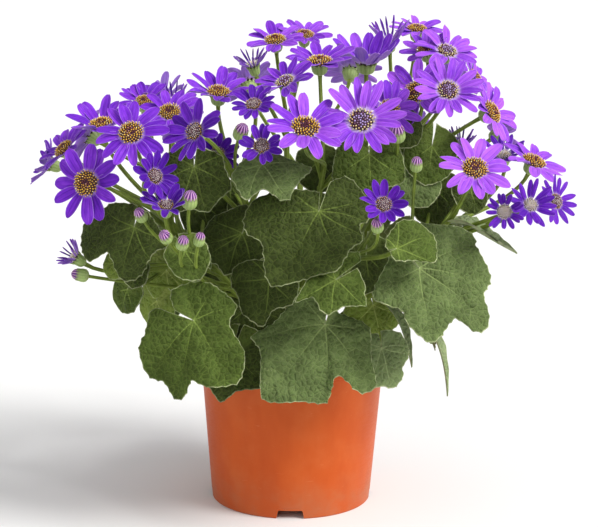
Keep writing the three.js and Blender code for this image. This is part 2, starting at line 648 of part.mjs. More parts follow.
// The frame of a head: its axis and two directions across it.
function headFrame(facing, tilt) {
  const axis = direction(facing, tilt);
  const side = new THREE.Vector3(0, 0, 1).cross(axis).normalize();
  return { axis, side, up: axis.clone().cross(side) };
}

// One ray as five points in its own plane: how far out, how far to the side, and how far up the axis.
function rayOutline(head, angle, lift) {
  const { radius, discRadius, petals } = head;
  const length = radius - discRadius;
  const halfStep = Math.PI / petals;
  const halfWidth = Math.min(RAY_HALF_WIDTH * radius, 0.73 * radius * Math.tan(halfStep));
  const out = (share) => discRadius + length * share * Math.cos(lift);
  const rise = (share) => length * share * Math.sin(lift);
  return [
    { r: discRadius, a: angle - halfStep, s: 0, h: 0 },
    { r: out(RAY_WIDEST), a: angle, s: -halfWidth, h: rise(RAY_WIDEST) },
    { r: out(1), a: angle, s: 0, h: rise(1) - RAY_DIP * length },
    { r: out(RAY_WIDEST), a: angle, s: halfWidth, h: rise(RAY_WIDEST) },
    { r: discRadius, a: angle + halfStep, s: 0, h: 0 },
  ];
}

function headPoint(head, { r, a, s, h }, offset = 0, lift = 0) {
  const out = r - offset * Math.sin(lift);
  const across = out * Math.cos(a) - s * Math.sin(a);
  const upward = out * Math.sin(a) + s * Math.cos(a);
  return head.centre
    .clone()
    .addScaledVector(head.side, across)
    .addScaledVector(head.up, upward)
    .addScaledVector(head.axis, h + RAY_THICKNESS / 2 + offset * Math.cos(lift));
}

// A ray alone, grown by the clearance all round, to test what it would touch.
function rayProbe(head, angle, lift) {
  const outline = rayOutline(head, angle, lift);
  outline.forEach((p, i) => {
    if (i === 0 || i === 4) p.r += 3;
    if (i === 0 || i === 4) p.h += 3 * Math.tan(Math.min(lift, 1.2));
    if (i === 0) p.a += 0.1;
    if (i === 4) p.a -= 0.1;
    if (i === 1) p.s -= RAY_CLEARANCE;
    if (i === 3) p.s += RAY_CLEARANCE;
    if (i === 2) p.r += RAY_CLEARANCE;
  });
  const reach = RAY_THICKNESS / 2 + RAY_CLEARANCE;
  const points = [
    ...outline.map((p) => headPoint(head, p, reach, lift)),
    ...outline.map((p) => headPoint(head, p, -reach, lift)),
  ];
  const bottomOf = (i) => i + 5;
  return solidFrom(points, [
    ...KITE,
    ...KITE.map((face) => face.map(bottomOf).reverse()),
    ...wallsOf([0, 1, 2, 3, 4], bottomOf),
  ]);
}

// What stands already, as { solid, low, high }, for bending rays clear.
const standing = [];

function stand(solid, node) {
  const box = solid.boundingBox();
  standing.push({ solid, node, low: box.min, high: box.max });
}

function crossing(probe, node) {
  const box = probe.boundingBox();
  let volume = 0;
  for (const other of standing) {
    if (other.node === node) continue;
    if ([0, 1, 2].some((k) => box.min[k] > other.high[k] || box.max[k] < other.low[k])) continue;
    volume += probe.intersect(other.solid).volume();
  }
  return volume;
}

// Lifts to try for a ray that meets something, nearest first, in degrees from the head's own lift.
const BENDS = [0, 7, -7, 14, -14, 21, -21, 28, -28, 36, -36, 45, -45, 55];

function clearLift(head, angle, lift, node) {
  let best = { volume: Infinity, lift };
  for (const bend of BENDS) {
    const tried = lift + bend * RAD;
    if (tried > 82 * RAD || tried < -50 * RAD) continue;
    const volume = crossing(rayProbe(head, angle, tried), node);
    if (volume < best.volume) best = { volume, lift: tried };
    if (volume < 1e-3) break;
  }
  return best.lift;
}

function headOf([x, y, z, facing, tilt, radius, petals, lift, branch], seed) {
  const random = draws(seed);
  return {
    centre: new THREE.Vector3(x, y, z),
    ...headFrame(facing, tilt),
    radius,
    discRadius: Math.max(DISC_SHARE * radius, DISC_LEAST),
    petals,
    lift: lift * RAD,
    branch,
    spin: 2 * Math.PI * random(),
    random,
  };
}

// The rays and the disc of a head as one sheet, with the disc's ring of florets raised from it.
function headSolid(head, node) {
  const { petals, discRadius, lift } = head;
  const step = (2 * Math.PI) / petals;
  const tops = [];
  const bottoms = [];
  const faces = [];
  const edge = [];
  const push = (point, leaning) => {
    tops.push(headPoint(head, point, RAY_THICKNESS / 2, leaning));
    bottoms.push(headPoint(head, point, -RAY_THICKNESS / 2, leaning));
    return tops.length - 1;
  };
  for (let k = 0; k < petals; k++) {
    push({ r: discRadius, a: head.spin + (k + 0.5) * step, s: 0, h: 0 }, lift);
  }
  for (let k = 0; k < petals; k++) {
    const angle = head.spin + k * step;
    const wished = lift + RAY_UNEVENNESS * RAD * (head.random() - 0.5);
    const bent = clearLift(head, angle, wished, node);
    const outline = rayOutline(head, angle, bent);
    const before = (k + petals - 1) % petals;
    const [wideA, tip, wideB] = [1, 2, 3].map((i) => push(outline[i], bent));
    faces.push([before, wideA, wideB], [before, wideB, k], [wideA, tip, wideB]);
    edge.push(before, wideA, tip, wideB);
  }
  const bottomOf = (i) => i + tops.length;
  const triangles = [...faces, ...faces.map((face) => face.map(bottomOf).reverse())];
  triangles.push(...wallsOf(edge, bottomOf));
  const points = [...tops, ...bottoms];
  const florets = points.length;
  for (let k = 0; k < petals; k++) {
    const floret = { r: FLORET_RING * discRadius, a: head.spin + (k + 0.5) * step, s: 0 };
    floret.h = DISC_HEIGHT * (k % 2 ? 1 : 0.72);
    points.push(headPoint(head, floret));
  }
  points.push(headPoint(head, { r: 0, a: 0, s: 0, h: DISC_HEIGHT * 0.85 }));
  const middle = points.length - 1;
  for (let k = 0; k < petals; k++) {
    const next = (k + 1) % petals;
    triangles.push([k, next, florets + next], [k, florets + next, florets + k]);
    triangles.push([florets + k, florets + next, middle]);
    if (k > 0 && k < petals - 1) triangles.push([bottomOf(0), bottomOf(k + 1), bottomOf(k)]);
  }
  return solidFrom(points, triangles);
}

// ---------------------------------------------------------------- stems

function curveOf(branch) {
  return new THREE.CatmullRomCurve3(BRANCHES[branch].path.map((p) => new THREE.Vector3(...p)));
}

function branchBar(branch) {
  const steps = 4;
  const { radius } = BRANCHES[branch];
  const points = curveOf(branch).getPoints(steps);
  const radii = points.map((_, i) => radius * THREE.MathUtils.lerp(BRANCH_FOOT, BRANCH_TIP, i / steps));
  return sweep(points, radii, points.map(() => 4));
}

// A stalk from a point on a branch to a foot, arriving along `heading`.
function stalkPath(branch, share, foot, heading) {
  const curve = curveOf(branch);
  const start = curve.getPointAt(share);
  const leaving = curve.getTangentAt(share);
  const span = start.distanceTo(foot);
  const bend = new THREE.CubicBezierCurve3(
    start,
    start.clone().addScaledVector(leaving, LEAVING_SHARE * span),
    foot.clone().addScaledVector(heading, -ARRIVING_SHARE * span),
    foot,
  );
  return bend.getPoints(span > LONG_STALK ? 3 : 2);
}

// The stalks of a flower branch part from it one after another, the first at its very end.
const stalksLeft = {};

function nextShare(branch) {
  const before = stalksLeft[branch] ?? 0;
  stalksLeft[branch] = before + 1;
  return 1 - STALK_SPACING * before;
}

// Flower stalk and green cup in one bar. The cup's top lies under the head.
function flowerStalk(head) {
  const foot = head.centre.clone().addScaledVector(head.axis, -CUP_HEIGHT - GAP);
  const points = stalkPath(head.branch, nextShare(head.branch), foot, head.axis);
  const radii = points.map(() => FLOWER_STALK_RADIUS);
  const corners = points.map(() => 3);
  const cup = CUP_SHARE * head.discRadius;
  points.push(foot.clone().addScaledVector(head.axis, 0.32 * CUP_HEIGHT));
  points.push(foot.clone().addScaledVector(head.axis, CUP_HEIGHT));
  radii.push(0.84 * cup, cup);
  corners.push(6, 6);
  return sweep(points, radii, corners);
}

function budStalk([x, y, z, facing, tilt, length, branch]) {
  const foot = new THREE.Vector3(x, y, z);
  const heading = direction(facing, tilt);
  const points = stalkPath(branch, nextShare(branch), foot, heading);
  const radii = points.map(() => BUD_STALK_RADIUS);
  const corners = points.map(() => 3);
  const shares = [0.25, 0.68, 1];
  const fullness = [0.38, 0.42, 0.18];
  shares.forEach((share, i) => {
    points.push(foot.clone().addScaledVector(heading, share * length));
    radii.push(fullness[i] * length);
    corners.push(6);
  });
  return sweep(points, radii, corners);
}

// Leaf stalk: it comes up under the blade's junction. It runs into a small leaf and ends just short of a
// large one, whose blade is a piece of its own.
function leafStalk({ at, facing, tilt, branch, share, edge }) {
  const normal = direction(facing, tilt);
  const short = edge ? LEAF_THICKNESS / 2 + GAP : 0;
  const foot = new THREE.Vector3(...at).addScaledVector(normal, -short);
  const points = stalkPath(branch, share, foot, normal);
  const radius = edge ? LEAF_STALK_RADIUS : SMALL_STALK_RADIUS;
  return sweep(points, points.map(() => radius), points.map(() => 3), normal);
}

function smallLeaf(leaf) {
  const blade = leafBlade({ ...leaf, edge: smallEdge(leaf.size), droop: SMALL_LEAF_DROOP });
  return [blade, leafStalk(leaf)];
}

function crownBar() {
  const points = [CROWN_BOTTOM, SOIL_LEVEL, CROWN_TOP].map((z) => new THREE.Vector3(0, 0, z));
  const radii = [CROWN_RADIUS * CROWN_TAPER, CROWN_RADIUS, CROWN_RADIUS * CROWN_TAPER];
  return sweep(points, radii, [6, 6, 6]);
}

// ---------------------------------------------------------------- assembly

const LOOKS = {
  pot: { color: 0xc4582e, roughness: 0.45 },
  soil: { color: 0x33231a, roughness: 0.95 },
  stem: { color: 0x5f8a35, roughness: 0.6 },
  leaf: { color: 0x42602f, roughness: 0.65, flatShading: true },
  violet: { color: 0x7a35e0, roughness: 0.5, flatShading: true },
};

const plant = new THREE.Group();

function add(name, solid, look, anchor = [0, 0, 0]) {
  const material = new THREE.MeshStandardMaterial({ metalness: 0, ...LOOKS[look] });
  const mesh = new THREE.Mesh(geometryOf(solid, anchor), material);
  mesh.name = name;
  mesh.position.set(...anchor);
  plant.add(mesh);
}

add("pot", potSolid(), "pot");
add("soil", soilSolid(), "soil");

const heads = {};
Object.entries(BLOOMS).forEach(([name, rows], i) => {
  heads[name] = rows.map((row, j) => headOf(row, 3 * i + j));
});

const green = [
  crownBar(),
  ...Object.keys(BRANCHES).map(branchBar),
  ...Object.values(heads).flat().map(flowerStalk),
  ...BUDS.map(budStalk),
  ...Object.values(LARGE_LEAVES).map(leafStalk),
  ...SMALL_LEAVES.flatMap(smallLeaf),
  ...NARROW_LEAVES.map(narrowLeaf),
];
green.forEach((solid) => stand(solid, "stems"));
add("stems", unionOf(green), "stem");

for (const [name, leaf] of Object.entries(LARGE_LEAVES)) {
  const blade = leafBlade(leaf);
  stand(blade, name);
  add(name, blade, "leaf", leaf.at);
}

for (const [name, group] of Object.entries(heads)) {
  const solids = group.map((head) => headSolid(head, name));
  solids.forEach((solid) => stand(solid, name));
  add(name, unionOf(solids), "violet", group[0].centre.toArray());
}

export default plant;
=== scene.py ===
"""A florist's cineraria in its plastic nursery pot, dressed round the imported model.

Blender's units are metres, with +Z up and the plant's best side facing -Y. The plan of the plant (branches,
heads, buds, leaves) is given in millimetres, and MM turns it into metres where a mesh is made.
"""
import itertools
import math
from collections import namedtuple

import bmesh
import bpy
import numpy as np
from mathutils import Matrix, Vector


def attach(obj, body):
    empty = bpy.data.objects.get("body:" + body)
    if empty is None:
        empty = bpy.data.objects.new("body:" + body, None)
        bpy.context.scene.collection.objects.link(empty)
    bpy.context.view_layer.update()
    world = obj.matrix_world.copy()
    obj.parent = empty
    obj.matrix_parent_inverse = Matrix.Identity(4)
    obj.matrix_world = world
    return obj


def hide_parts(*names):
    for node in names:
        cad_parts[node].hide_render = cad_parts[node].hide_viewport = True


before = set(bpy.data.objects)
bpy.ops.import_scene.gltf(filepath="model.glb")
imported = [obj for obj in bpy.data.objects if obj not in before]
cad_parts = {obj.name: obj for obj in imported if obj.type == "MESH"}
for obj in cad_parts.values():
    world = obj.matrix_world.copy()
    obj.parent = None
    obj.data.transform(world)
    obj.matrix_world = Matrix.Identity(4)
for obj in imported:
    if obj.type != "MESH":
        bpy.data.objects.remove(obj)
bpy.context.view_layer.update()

MM = 0.001
RAD = math.pi / 180
FULL_TURN = 2 * math.pi
GOLDEN_ANGLE = math.pi * (3 - math.sqrt(5))
UP = np.array([0, 0, 1.0])


# ------------------------------------------------------------------ sizes of the model, in millimetres

POT_HEIGHT = 110
POT_FOOT_RADIUS = 55.3
POT_BAND_BOTTOM = 98
POT_BAND_RADIUS = 63.3
POT_RIM_RADIUS = 66
POT_RIM_WIDTH = 2
POT_WALL = 1.8
FOOT_HEIGHT = 6
FLOOR_THICKNESS = 2
FOOT_PAD_RADIUS = 26
NOTCH_WIDTH = 19.5
NOTCH_TAPER = 1.5
NOTCH_DEPTH = 12
NOTCH_COUNT = 4
DRAIN_HOLE_RADIUS = 3.5
DRAIN_HOLE_CIRCLE = 41
DRAIN_HOLE_COUNT = 6

SOIL_LEVEL = 96
GAP = 0.3

CROWN_RADIUS = 6.5
SOIL_HOLE_RADIUS = 7.1
CROWN_BOTTOM = 76.3
CROWN_TOP = 112
LEAF_STALK_RADIUS = 1.8
SMALL_STALK_RADIUS = 1.4
FLOWER_STALK_RADIUS = 1.4
BUD_STALK_RADIUS = 1.2
LEAVING_SHARE = 0.1
ARRIVING_SHARE = 0.35
STALK_SPACING = 0.05
SMALL_LEAF_DROOP = 0.18
SMALL_LOBED_LENGTH = 27

RAY_THICKNESS = 0.7
RAY_DIP = 0.05
RAY_UNEVENNESS = 9
RAY_BENDS = (0, 7, -7, 14, -14, 21, -21, 28, -28, 36, -36, 45, -45, 55)
DISC_SHARE = 0.29
DISC_LEAST = 5.2
CUP_HEIGHT = 8
CUP_SHARE = 0.8


# ------------------------------------------------------------------ the plant's plan, in millimetres

Leaf = namedtuple("Leaf", "at facing tilt turn droop seed branch share tone edge")
HEAD_WORDS = "bloom centre facing tilt radius rays lift branch petals tone disc style"
Head = namedtuple("Head", HEAD_WORDS, defaults=["open"])


def regular_edge(half, length):
    """The outline of a regular blade, from the points of one half: (degrees from the midrib, reach)."""
    left = [(-degrees, reach) for degrees, reach in reversed(half)]
    return [(degrees, length * reach) for degrees, reach in [*left, (0, 1), *half]]


def lobed_edge(length):
    return regular_edge([(20, 0.82), (44, 0.96), (68, 0.76), (94, 0.86), (122, 0.66), (152, 0.56)], length)


def small_edge(length):
    plain = [(44, 0.86), (110, 0.7)]
    lobed = [(24, 0.82), (54, 0.95), (86, 0.74), (132, 0.7)]
    return regular_edge(lobed if length > SMALL_LOBED_LENGTH else plain, length)


# A branch is the points that it passes and its radius at the crown.
BRANCHES = {
    "left": (((-4, -1, 103), (-34, -14, 144), (-70, -34, 186), (-92, -44, 214)), 2.9),
    "left_front": (((-3, -3, 106), (-26, -32, 138), (-52, -60, 174), (-76, -84, 202)), 2.9),
    "middle_left": (((-2, -2, 110), (-14, -18, 150), (-26, -34, 194), (-36, -50, 232)), 2.6),
    "middle": (((1, -3, 107), (6, -12, 150), (14, -24, 200), (20, -42, 240)), 2.6),
    "middle_right": (((3, -1, 110), (26, -14, 150), (52, -30, 200), (72, -40, 250)), 2.8),
    "right": (((4, -3, 106), (38, -26, 138), (76, -46, 176), (102, -60, 208)), 2.9),
    "front": (((1, -4, 102), (14, -36, 134), (30, -64, 166), (44, -88, 194)), 2.4),
    "back_middle": (((-1, 2, 111), (-4, 14, 160), (-5, 24, 214), (-6, 32, 262)), 2.6),
    "back_right": (((3, 2, 106), (26, 18, 150), (54, 32, 204), (76, 40, 256)), 2.8),
    "back": (((1, 4, 104), (4, 36, 138), (4, 68, 182), (4, 92, 220)), 2.8),
    "back_left": (((-3, 3, 106), (-32, 24, 142), (-64, 40, 184), (-88, 52, 222)), 2.8),
}

# One row for each flower head, in the order of HEAD_WORDS. The style of its petals is "open" where none is
# given. Heads of one bloom stand so close that their rays cross.
# A head's tone is partly its own colour and partly painted light: paler on the lit right, deeper in shade.
HEADS = [Head(*row) for row in (
    (1, (7, -105, 273), 5, 55, 27.4, 11, 10, "middle", 13, 0.68, "golden"),
    (2, (42, -98, 277), -4, 36, 29.0, 11, 12, "middle_right", 17, 0.74, "ringed"),
    (3, (114, -95, 247), 8, 44, 25.0, 10, 3, "right", 13, 0.98, "golden"),
    (4, (98, -66, 293), 6, 38, 24.5, 10, 16, "middle_right", 17, 0.81, "ringed"),
    (5, (101, -8, 313), 22, 58, 23.5, 10, 4, "back_right", 15, 0.85, "ringed"),
    (5, (88, 5, 312), -20, 55, 19.0, 8, 14, "back_right", 13, 0.70, "golden"),
    (6, (80, -40, 289), -25, 28, 24.5, 9, 14, "middle_right", 12, 0.72, "golden"),
    (7, (128, -45, 277), 60, 30, 23.5, 10, 8, "middle_right", 13, 0.90, "golden"),
    (8, (159, -30, 242), 46, 64, 24.5, 9, 2, "right", 12, 0.83, "golden"),
    (9, (142, -5, 243), -15, 58, 18.0, 9, 28, "right", 13, 0.30, "pale", "narrow"),
    (10, (133, -100, 221), -8, 14, 14.0, 8, 30, "right", 14, 0.20, "pale", "narrow"),
    (10, (150, -92, 224), 20, 28, 18.0, 8, 26, "right", 14, 0.24, "pale", "narrow"),
    (10, (168, -77, 224), 42, 16, 17.5, 8, 14, "right", 13, 0.34, "grey", "narrow"),
    (11, (55, -138, 231), 4, 32, 16.5, 8, 31, "front", 12, 0.16, "grey"),
    (12, (111, -24, 253), 0, 70, 15.0, 8, 60, "middle_right", 15, 0.35, "pale", "quilled"),
    (13, (85, 62, 322), 10, 74, 20.5, 9, 6, "back_right", 12, 0.78, "golden"),
    (13, (65, 49, 315), -20, 75, 21.0, 8, 55, "back_right", 14, 0.60, "pale", "quilled"),
    (14, (48, 8, 304), 0, 77, 29.0, 9, 48, "middle_right", 13, 0.62, "ringed"),
    (15, (16, -22, 306), -12, 75, 25.2, 10, 15, "middle", 13, 0.56, "golden"),
    (16, (-6, -62, 297), -40, 58, 21.8, 9, 10, "middle", 14, 0.47, "ringed"),
    (17, (-14, 25, 316), -10, 66, 21.9, 9, 8, "back_middle", 12, 0.62, "golden"),
    (17, (6, 37, 319), 10, 68, 19.0, 9, 10, "back_middle", 12, 0.60, "golden"),
    (18, (-29, 10, 301), -40, 66, 15.5, 8, 50, "back_middle", 14, 0.35, "pale", "quilled"),
    (19, (-26, -78, 284), -10, 52, 16.0, 8, 16, "middle_left", 13, 0.18, "grey"),
    (20, (-20, -110, 262), -8, 30, 14.5, 8, 18, "middle_left", 12, 0.10, "grey"),
    (21, (-50, -42, 287), 8, 68, 23.5, 9, 20, "middle_left", 12, 0.44, "golden"),
    (22, (-61, -112, 271), -35, 26, 21.5, 9, 14, "middle_left", 13, 0.15, "grey"),
    (23, (-80, -68, 277), 0, 52, 21.8, 9, 8, "left_front", 12, 0.48, "golden"),
    (24, (-101, -108, 269), -5, 38, 24.0, 10, -2, "left_front", 13, 0.42, "golden"),
    (25, (-124, -66, 268), -22, 66, 23.7, 9, 30, "left", 12, 0.41, "golden"),
    (26, (-129, -105, 237), -22, 8, 25.7, 10, 2, "left_front", 12, 0.42, "golden"),
    (27, (-150, -50, 250), -62, 44, 21.4, 9, 10, "left", 12, 0.42, "golden"),
    (27, (-163, -27, 237), -80, 22, 18.9, 8, 30, "left", 13, 0.42, "pale", "narrow"),
    (28, (-104, 8, 276), -10, 74, 17.0, 8, 30, "left", 12, 0.46, "golden"),
    (28, (-83, 6, 276), 5, 74, 16.5, 8, 60, "left", 14, 0.40, "pale", "quilled"),
    (28, (-101, -10, 277), -10, 60, 19.0, 8, 14, "left", 12, 0.46, "golden"),
    (29, (-86, -120, 244), 36, 20, 17.0, 8, 20, "left_front", 13, 0.04, "grey"),
    (29, (-78, -129, 227), 5, 62, 17.0, 8, 26, "left_front", 13, 0.04, "grey"),
    (30, (61, -56, 279), 18, 30, 22.0, 9, 6, "middle", 13, 0.60, "golden"),
    (31, (123, 22, 293), 70, 35, 18.0, 9, 14, "back_right", 12, 0.86, "golden"),
    (32, (-141, -78, 184), -70, 35, 13.5, 8, 52, "left_front", 16, 0.30, "pale", "quilled"),
    (33, (112, 78, 284), 140, 42, 23.5, 8, 8, "back_right", 13, 0.80, "golden"),
    (34, (40, 104, 288), 172, 40, 24.0, 8, 10, "back", 14, 0.65, "ringed"),
    (35, (-34, 98, 278), -164, 42, 24.0, 8, 8, "back", 13, 0.45, "golden"),
    (36, (-96, 78, 268), -140, 38, 23.0, 8, 12, "back_left", 12, 0.40, "golden"),
    (36, (-85, 103, 250), -150, 22, 22.0, 8, 10, "back_left", 12, 0.45, "golden"),
    (37, (-142, 32, 248), -108, 30, 22.0, 8, 8, "back_left", 13, 0.42, "golden"),
    (38, (144, 44, 252), 108, 34, 23.0, 8, 10, "back_right", 12, 0.80, "golden"),
    (39, (80, 128, 246), 152, 20, 22.0, 8, 12, "back", 13, 0.62, "ringed"),
    (40, (-49, -72, 251), -10, 20, 15.5, 8, 14, "middle_left", 12, 0.10, "grey"),
)]

# Foot, facing, tilt, length and branch of each closed bud.
BUDS = [
    ((66, -78, 262), -10, 60, 13, "middle_right"),
    ((77, -92, 245), 10, 70, 10, "right"),
    ((52, -134, 214), -10, 55, 10, "front"),
    ((-64, -129, 226), 20, 70, 12, "left_front"),
    ((-92, -128, 218), -30, 50, 10, "left_front"),
    ((-76, -142, 208), -20, 40, 10, "left_front"),
    ((-68, -140, 203), 20, 55, 10, "left_front"),
    ((-58, -136, 204), 40, 70, 9, "left_front"),
    ((-35, -90, 264), 30, 55, 12, "middle_left"),
    ((-132, -80, 172), -95, 8, 11, "left_front"),
]

# The edge of a leaf is a list of points: degrees round from the midrib, and reach from the junction.
LARGE_LEAVES = [
    Leaf((21, -98, 146), 0, 30, -12, 0.16, 3, "front", 0.45, "grey", [
        (-150, 19), (-134, 24), (-97, 28), (-79, 35), (-70, 48), (-53, 45), (-28, 62), (-6, 52), (14, 50),
        (22, 36), (31, 37), (40, 49), (54, 50), (66, 37), (98, 29), (118, 18), (148, 12),
    ]),
    Leaf((-62, -112, 151), -12, 18, 68, 0.12, 5, "left_front", 0.55, "mid", [
        (-174, 24), (-166, 30), (-142, 32), (-129, 40), (-110, 46), (-101, 46), (-91, 44), (-80, 51),
        (-71, 48), (-66, 38), (-52, 43), (-28, 48), (-5, 38), (22, 23), (46, 29), (90, 26), (122, 25),
        (156, 24), (178, 14),
    ]),
    Leaf((80, -105, 185), 14, 34, 36, 0.14, 7, "right", 0.7, "grey", [
        (-153, 20), (-125, 24), (-97, 37), (-66, 32), (-57, 38), (-37, 48), (-24, 45), (-6, 39), (1, 52),
        (10, 57), (20, 53), (31, 45), (46, 49), (70, 43), (80, 47), (95, 44), (132, 32),
    ]),
    Leaf((16, -112, 222), -4, 28, -5, 0.16, 11, "middle", 0.75, "dark", [
        (-160, 14), (-115, 27), (-96, 42), (-80, 48), (-66, 47), (-54, 41), (-39, 48), (-26, 54),
        (-3, 43), (24, 40), (48, 31), (64, 33), (77, 27), (88, 32), (113, 32), (147, 29), (166, 20),
    ]),
    Leaf((-20, -98, 249), -4, 48, 10, 0.2, 13, "middle_left", 0.8, "grey", [
        (-140, 12), (-80, 20), (-55, 22), (-32, 26), (-18, 22), (0, 20), (17, 29), (29, 30), (44, 26),
        (76, 29), (86, 31), (93, 22), (130, 13),
    ]),
    Leaf((-101, -92, 207), -20, 22, -5, 0.14, 17, "left_front", 0.8, "dark", [
        (-157, 16), (-123, 23), (-105, 28), (-94, 34), (-85, 40), (-68, 41), (-44, 38), (-37, 24),
        (-14, 30), (0, 35), (13, 34), (26, 30), (38, 24), (57, 22), (74, 27), (100, 17), (150, 13),
    ]),
    Leaf((-63, -92, 246), -8, 20, 0, 0.14, 19, "middle_left", 0.7, "dark", [
        (-150, 16), (-115, 20), (-90, 22), (-65, 27), (-40, 25), (-20, 30), (0, 27), (20, 30), (40, 26),
        (65, 27), (90, 20), (115, 19), (150, 14),
    ]),
    Leaf((-33, -73, 200), -10, 24, -20, 0.14, 23, "middle_left", 0.5, "dark", [
        (-155, 20), (-112, 20), (-94, 24), (-72, 26), (-54, 29), (-32, 29), (-16, 26), (-2, 29), (12, 25),
        (24, 20), (44, 22), (68, 21), (99, 18), (130, 18), (152, 16),
    ]),
    Leaf((-15, -90, 174), 0, 22, -15, 0.14, 29, "front", 0.55, "dark", [
        (-150, 12), (-123, 17), (-93, 24), (-66, 25), (-46, 23), (-24, 28), (-3, 30), (9, 31), (19, 22),
        (34, 20), (56, 22), (90, 20), (135, 16),
    ]),
    Leaf((27, -124, 181), 4, 34, -55, 0.16, 31, "front", 0.75, "mid", [
        (-163, 25), (-144, 20), (-105, 16), (-70, 17), (-41, 17), (-8, 29), (0, 19), (23, 21), (41, 23),
        (70, 18), (102, 25), (118, 20), (135, 19),
    ]),
    Leaf((64, -128, 202), 22, 36, 105, 0.12, 37, "front", 0.9, "mid", [
        (-140, 7), (-100, 9), (-60, 12), (-45, 20), (-37, 27), (-20, 29), (0, 32), (14, 29), (30, 26),
        (52, 21), (70, 14), (110, 9), (145, 7),
    ]),
    Leaf((58, -86, 128), 20, 30, -5, 0.2, 41, "right", 0.3, "frost_and_light", [
        (-145, 12), (-110, 18), (-70, 20), (-42, 24), (-24, 29), (-5, 25), (15, 27), (40, 23), (48, 19),
        (75, 20), (99, 20), (124, 19), (151, 14),
    ]),
    Leaf((98, 58, 166), 124, 26, 8, 0.16, 43, "back_right", 0.5, "dark", lobed_edge(50)),
    Leaf((30, 106, 178), 172, 28, -10, 0.16, 47, "back", 0.6, "dark", lobed_edge(52)),
    Leaf((-58, 96, 160), -150, 24, 8, 0.16, 53, "back_left", 0.5, "dark", lobed_edge(50)),
    Leaf((-106, 30, 180), -106, 26, -6, 0.16, 59, "back_left", 0.6, "dark", lobed_edge(48)),
    Leaf((116, -16, 180), 80, 26, 10, 0.16, 61, "right", 0.55, "dark", lobed_edge(46)),
]

# Junction, facing, tilt, turn, length, seed, branch, share of the branch and tone.
SMALL_LEAVES = [
    ((-39, -60, 118), -14, 36, -8, 34, 67, "left_front", 0.25, "dark"),
    ((48, -74, 253), 4, 24, 0, 30, 71, "middle", 0.85, "mid"),
    ((90, -48, 255), 10, 14, -10, 26, 73, "middle_right", 0.85, "mid"),
    ((-83, -58, 172), -24, 0, 0, 26, 79, "left_front", 0.5, "light"),
    ((-90, -52, 150), -40, 4, -10, 24, 83, "left", 0.4, "light"),
    ((-107, -76, 163), -36, 8, -25, 18, 109, "left", 0.7, "mid"),
    ((54, -34, 145), 24, 10, 10, 29, 89, "right", 0.4, "light"),
    ((-43, -20, 222), 0, 10, 0, 18, 113, "middle_left", 0.75, "dark"),
    ((-43, -32, 165), -10, 14, 10, 26, 127, "left_front", 0.45, "dark"),
    ((-28, -44, 146), 0, 16, 8, 30, 131, "middle_left", 0.2, "dark"),
    ((-60, -48, 215), -10, 16, 10, 24, 137, "left_front", 0.8, "dark"),
    ((-67, -122, 198), -10, 24, 32, 20, 139, "left_front", 0.85, "mid"),
    ((-101, -84, 179), -20, 14, -10, 14, 149, "left_front", 0.7, "dark"),
    ((-108, -88, 184), -30, 30, -80, 18, 179, "left_front", 0.75, "light"),
    ((69, -54, 270), 10, 10, 40, 18, 151, "middle_right", 0.9, "dark"),
    ((78, -48, 239), 14, 24, 20, 26, 157, "middle_right", 0.8, "grey"),
    ((116, -44, 227), 14, 20, 10, 18, 163, "right", 0.9, "dark"),
    ((48, -58, 184), 6, 14, 0, 26, 167, "middle", 0.45, "dark"),
    ((95, -30, 223), 10, 12, 0, 26, 173, "right", 0.8, "dark"),
    ((16, -26, 241), 4, 14, 0, 22, 181, "middle", 0.8, "dark"),
    ((4, 82, 134), 180, 40, 0, 40, 97, "back", 0.3, "mid"),
    ((-80, -2, 136), -90, 36, 0, 38, 101, "left", 0.25, "mid"),
    ((82, 20, 132), 100, 40, 0, 38, 103, "back_right", 0.25, "mid"),
]

# Branch, share of the branch, facing, tilt, length, half width to length, and tone.
NARROW_LEAVES = [
    ("right", 0.99, 68, -10, 36, 0.26, "pale"),
    ("right", 0.97, 82, -12, 50, 0.24, "pale"),
    ("right", 0.6, 30, 10, 26, 0.28, "mid"),
    ("left_front", 0.9, 44, -24, 26, 0.28, "mid"),
    ("left_front", 0.97, 4, -14, 22, 0.28, "mid"),
    ("right", 0.62, 71, -56, 88, 0.09, "pale"),
    ("right", 0.5, 65, -51, 56, 0.12, "pale"),
]


# ------------------------------------------------------------------ helpers

Frame = namedtuple("Frame", "axis side up")
NOTHING = (0, 0, 0)
CURVE_STEPS = 40
TANGENT_REACH = 0.004
STALK_RIBS = 5


def draws(seed):
    """A repeatable stream of numbers from 0 to 1, the same as the model's."""
    state = seed * 7919 + 17

    def draw():
        nonlocal state
        state = (state * 1664525 + 1013904223) % 4294967296
        return state / 4294967296

    return draw


def unit(vector):
    vector = np.asarray(vector, float)
    return vector / np.linalg.norm(vector, axis=-1, keepdims=True)


def direction(facing, tilt):
    """The unit vector facing `facing` degrees round from -Y towards +X, tilted above level."""
    a, t = facing * RAD, tilt * RAD
    return np.array([math.sin(a) * math.cos(t), -math.cos(a) * math.cos(t), math.sin(t)])


def smooth(value, low=0.0, high=1.0):
    t = np.clip((np.asarray(value, float) - low) / (high - low), 0, 1)
    return t * t * (3 - 2 * t)


def turns(count):
    return FULL_TURN * np.arange(count) / count


def circle(count, side, up):
    """Unit spokes all round, from `side` towards `up`."""
    turn = turns(count)
    return np.cos(turn)[:, None] * side + np.sin(turn)[:, None] * up


def stacked(*values):
    """Three arrays of numbers, spread to one shape, as one array of vectors."""
    return np.stack(np.broadcast_arrays(*values), -1)


def arc_length(line):
    return np.concatenate([[0], np.cumsum(np.linalg.norm(np.diff(line, axis=0), axis=1))])


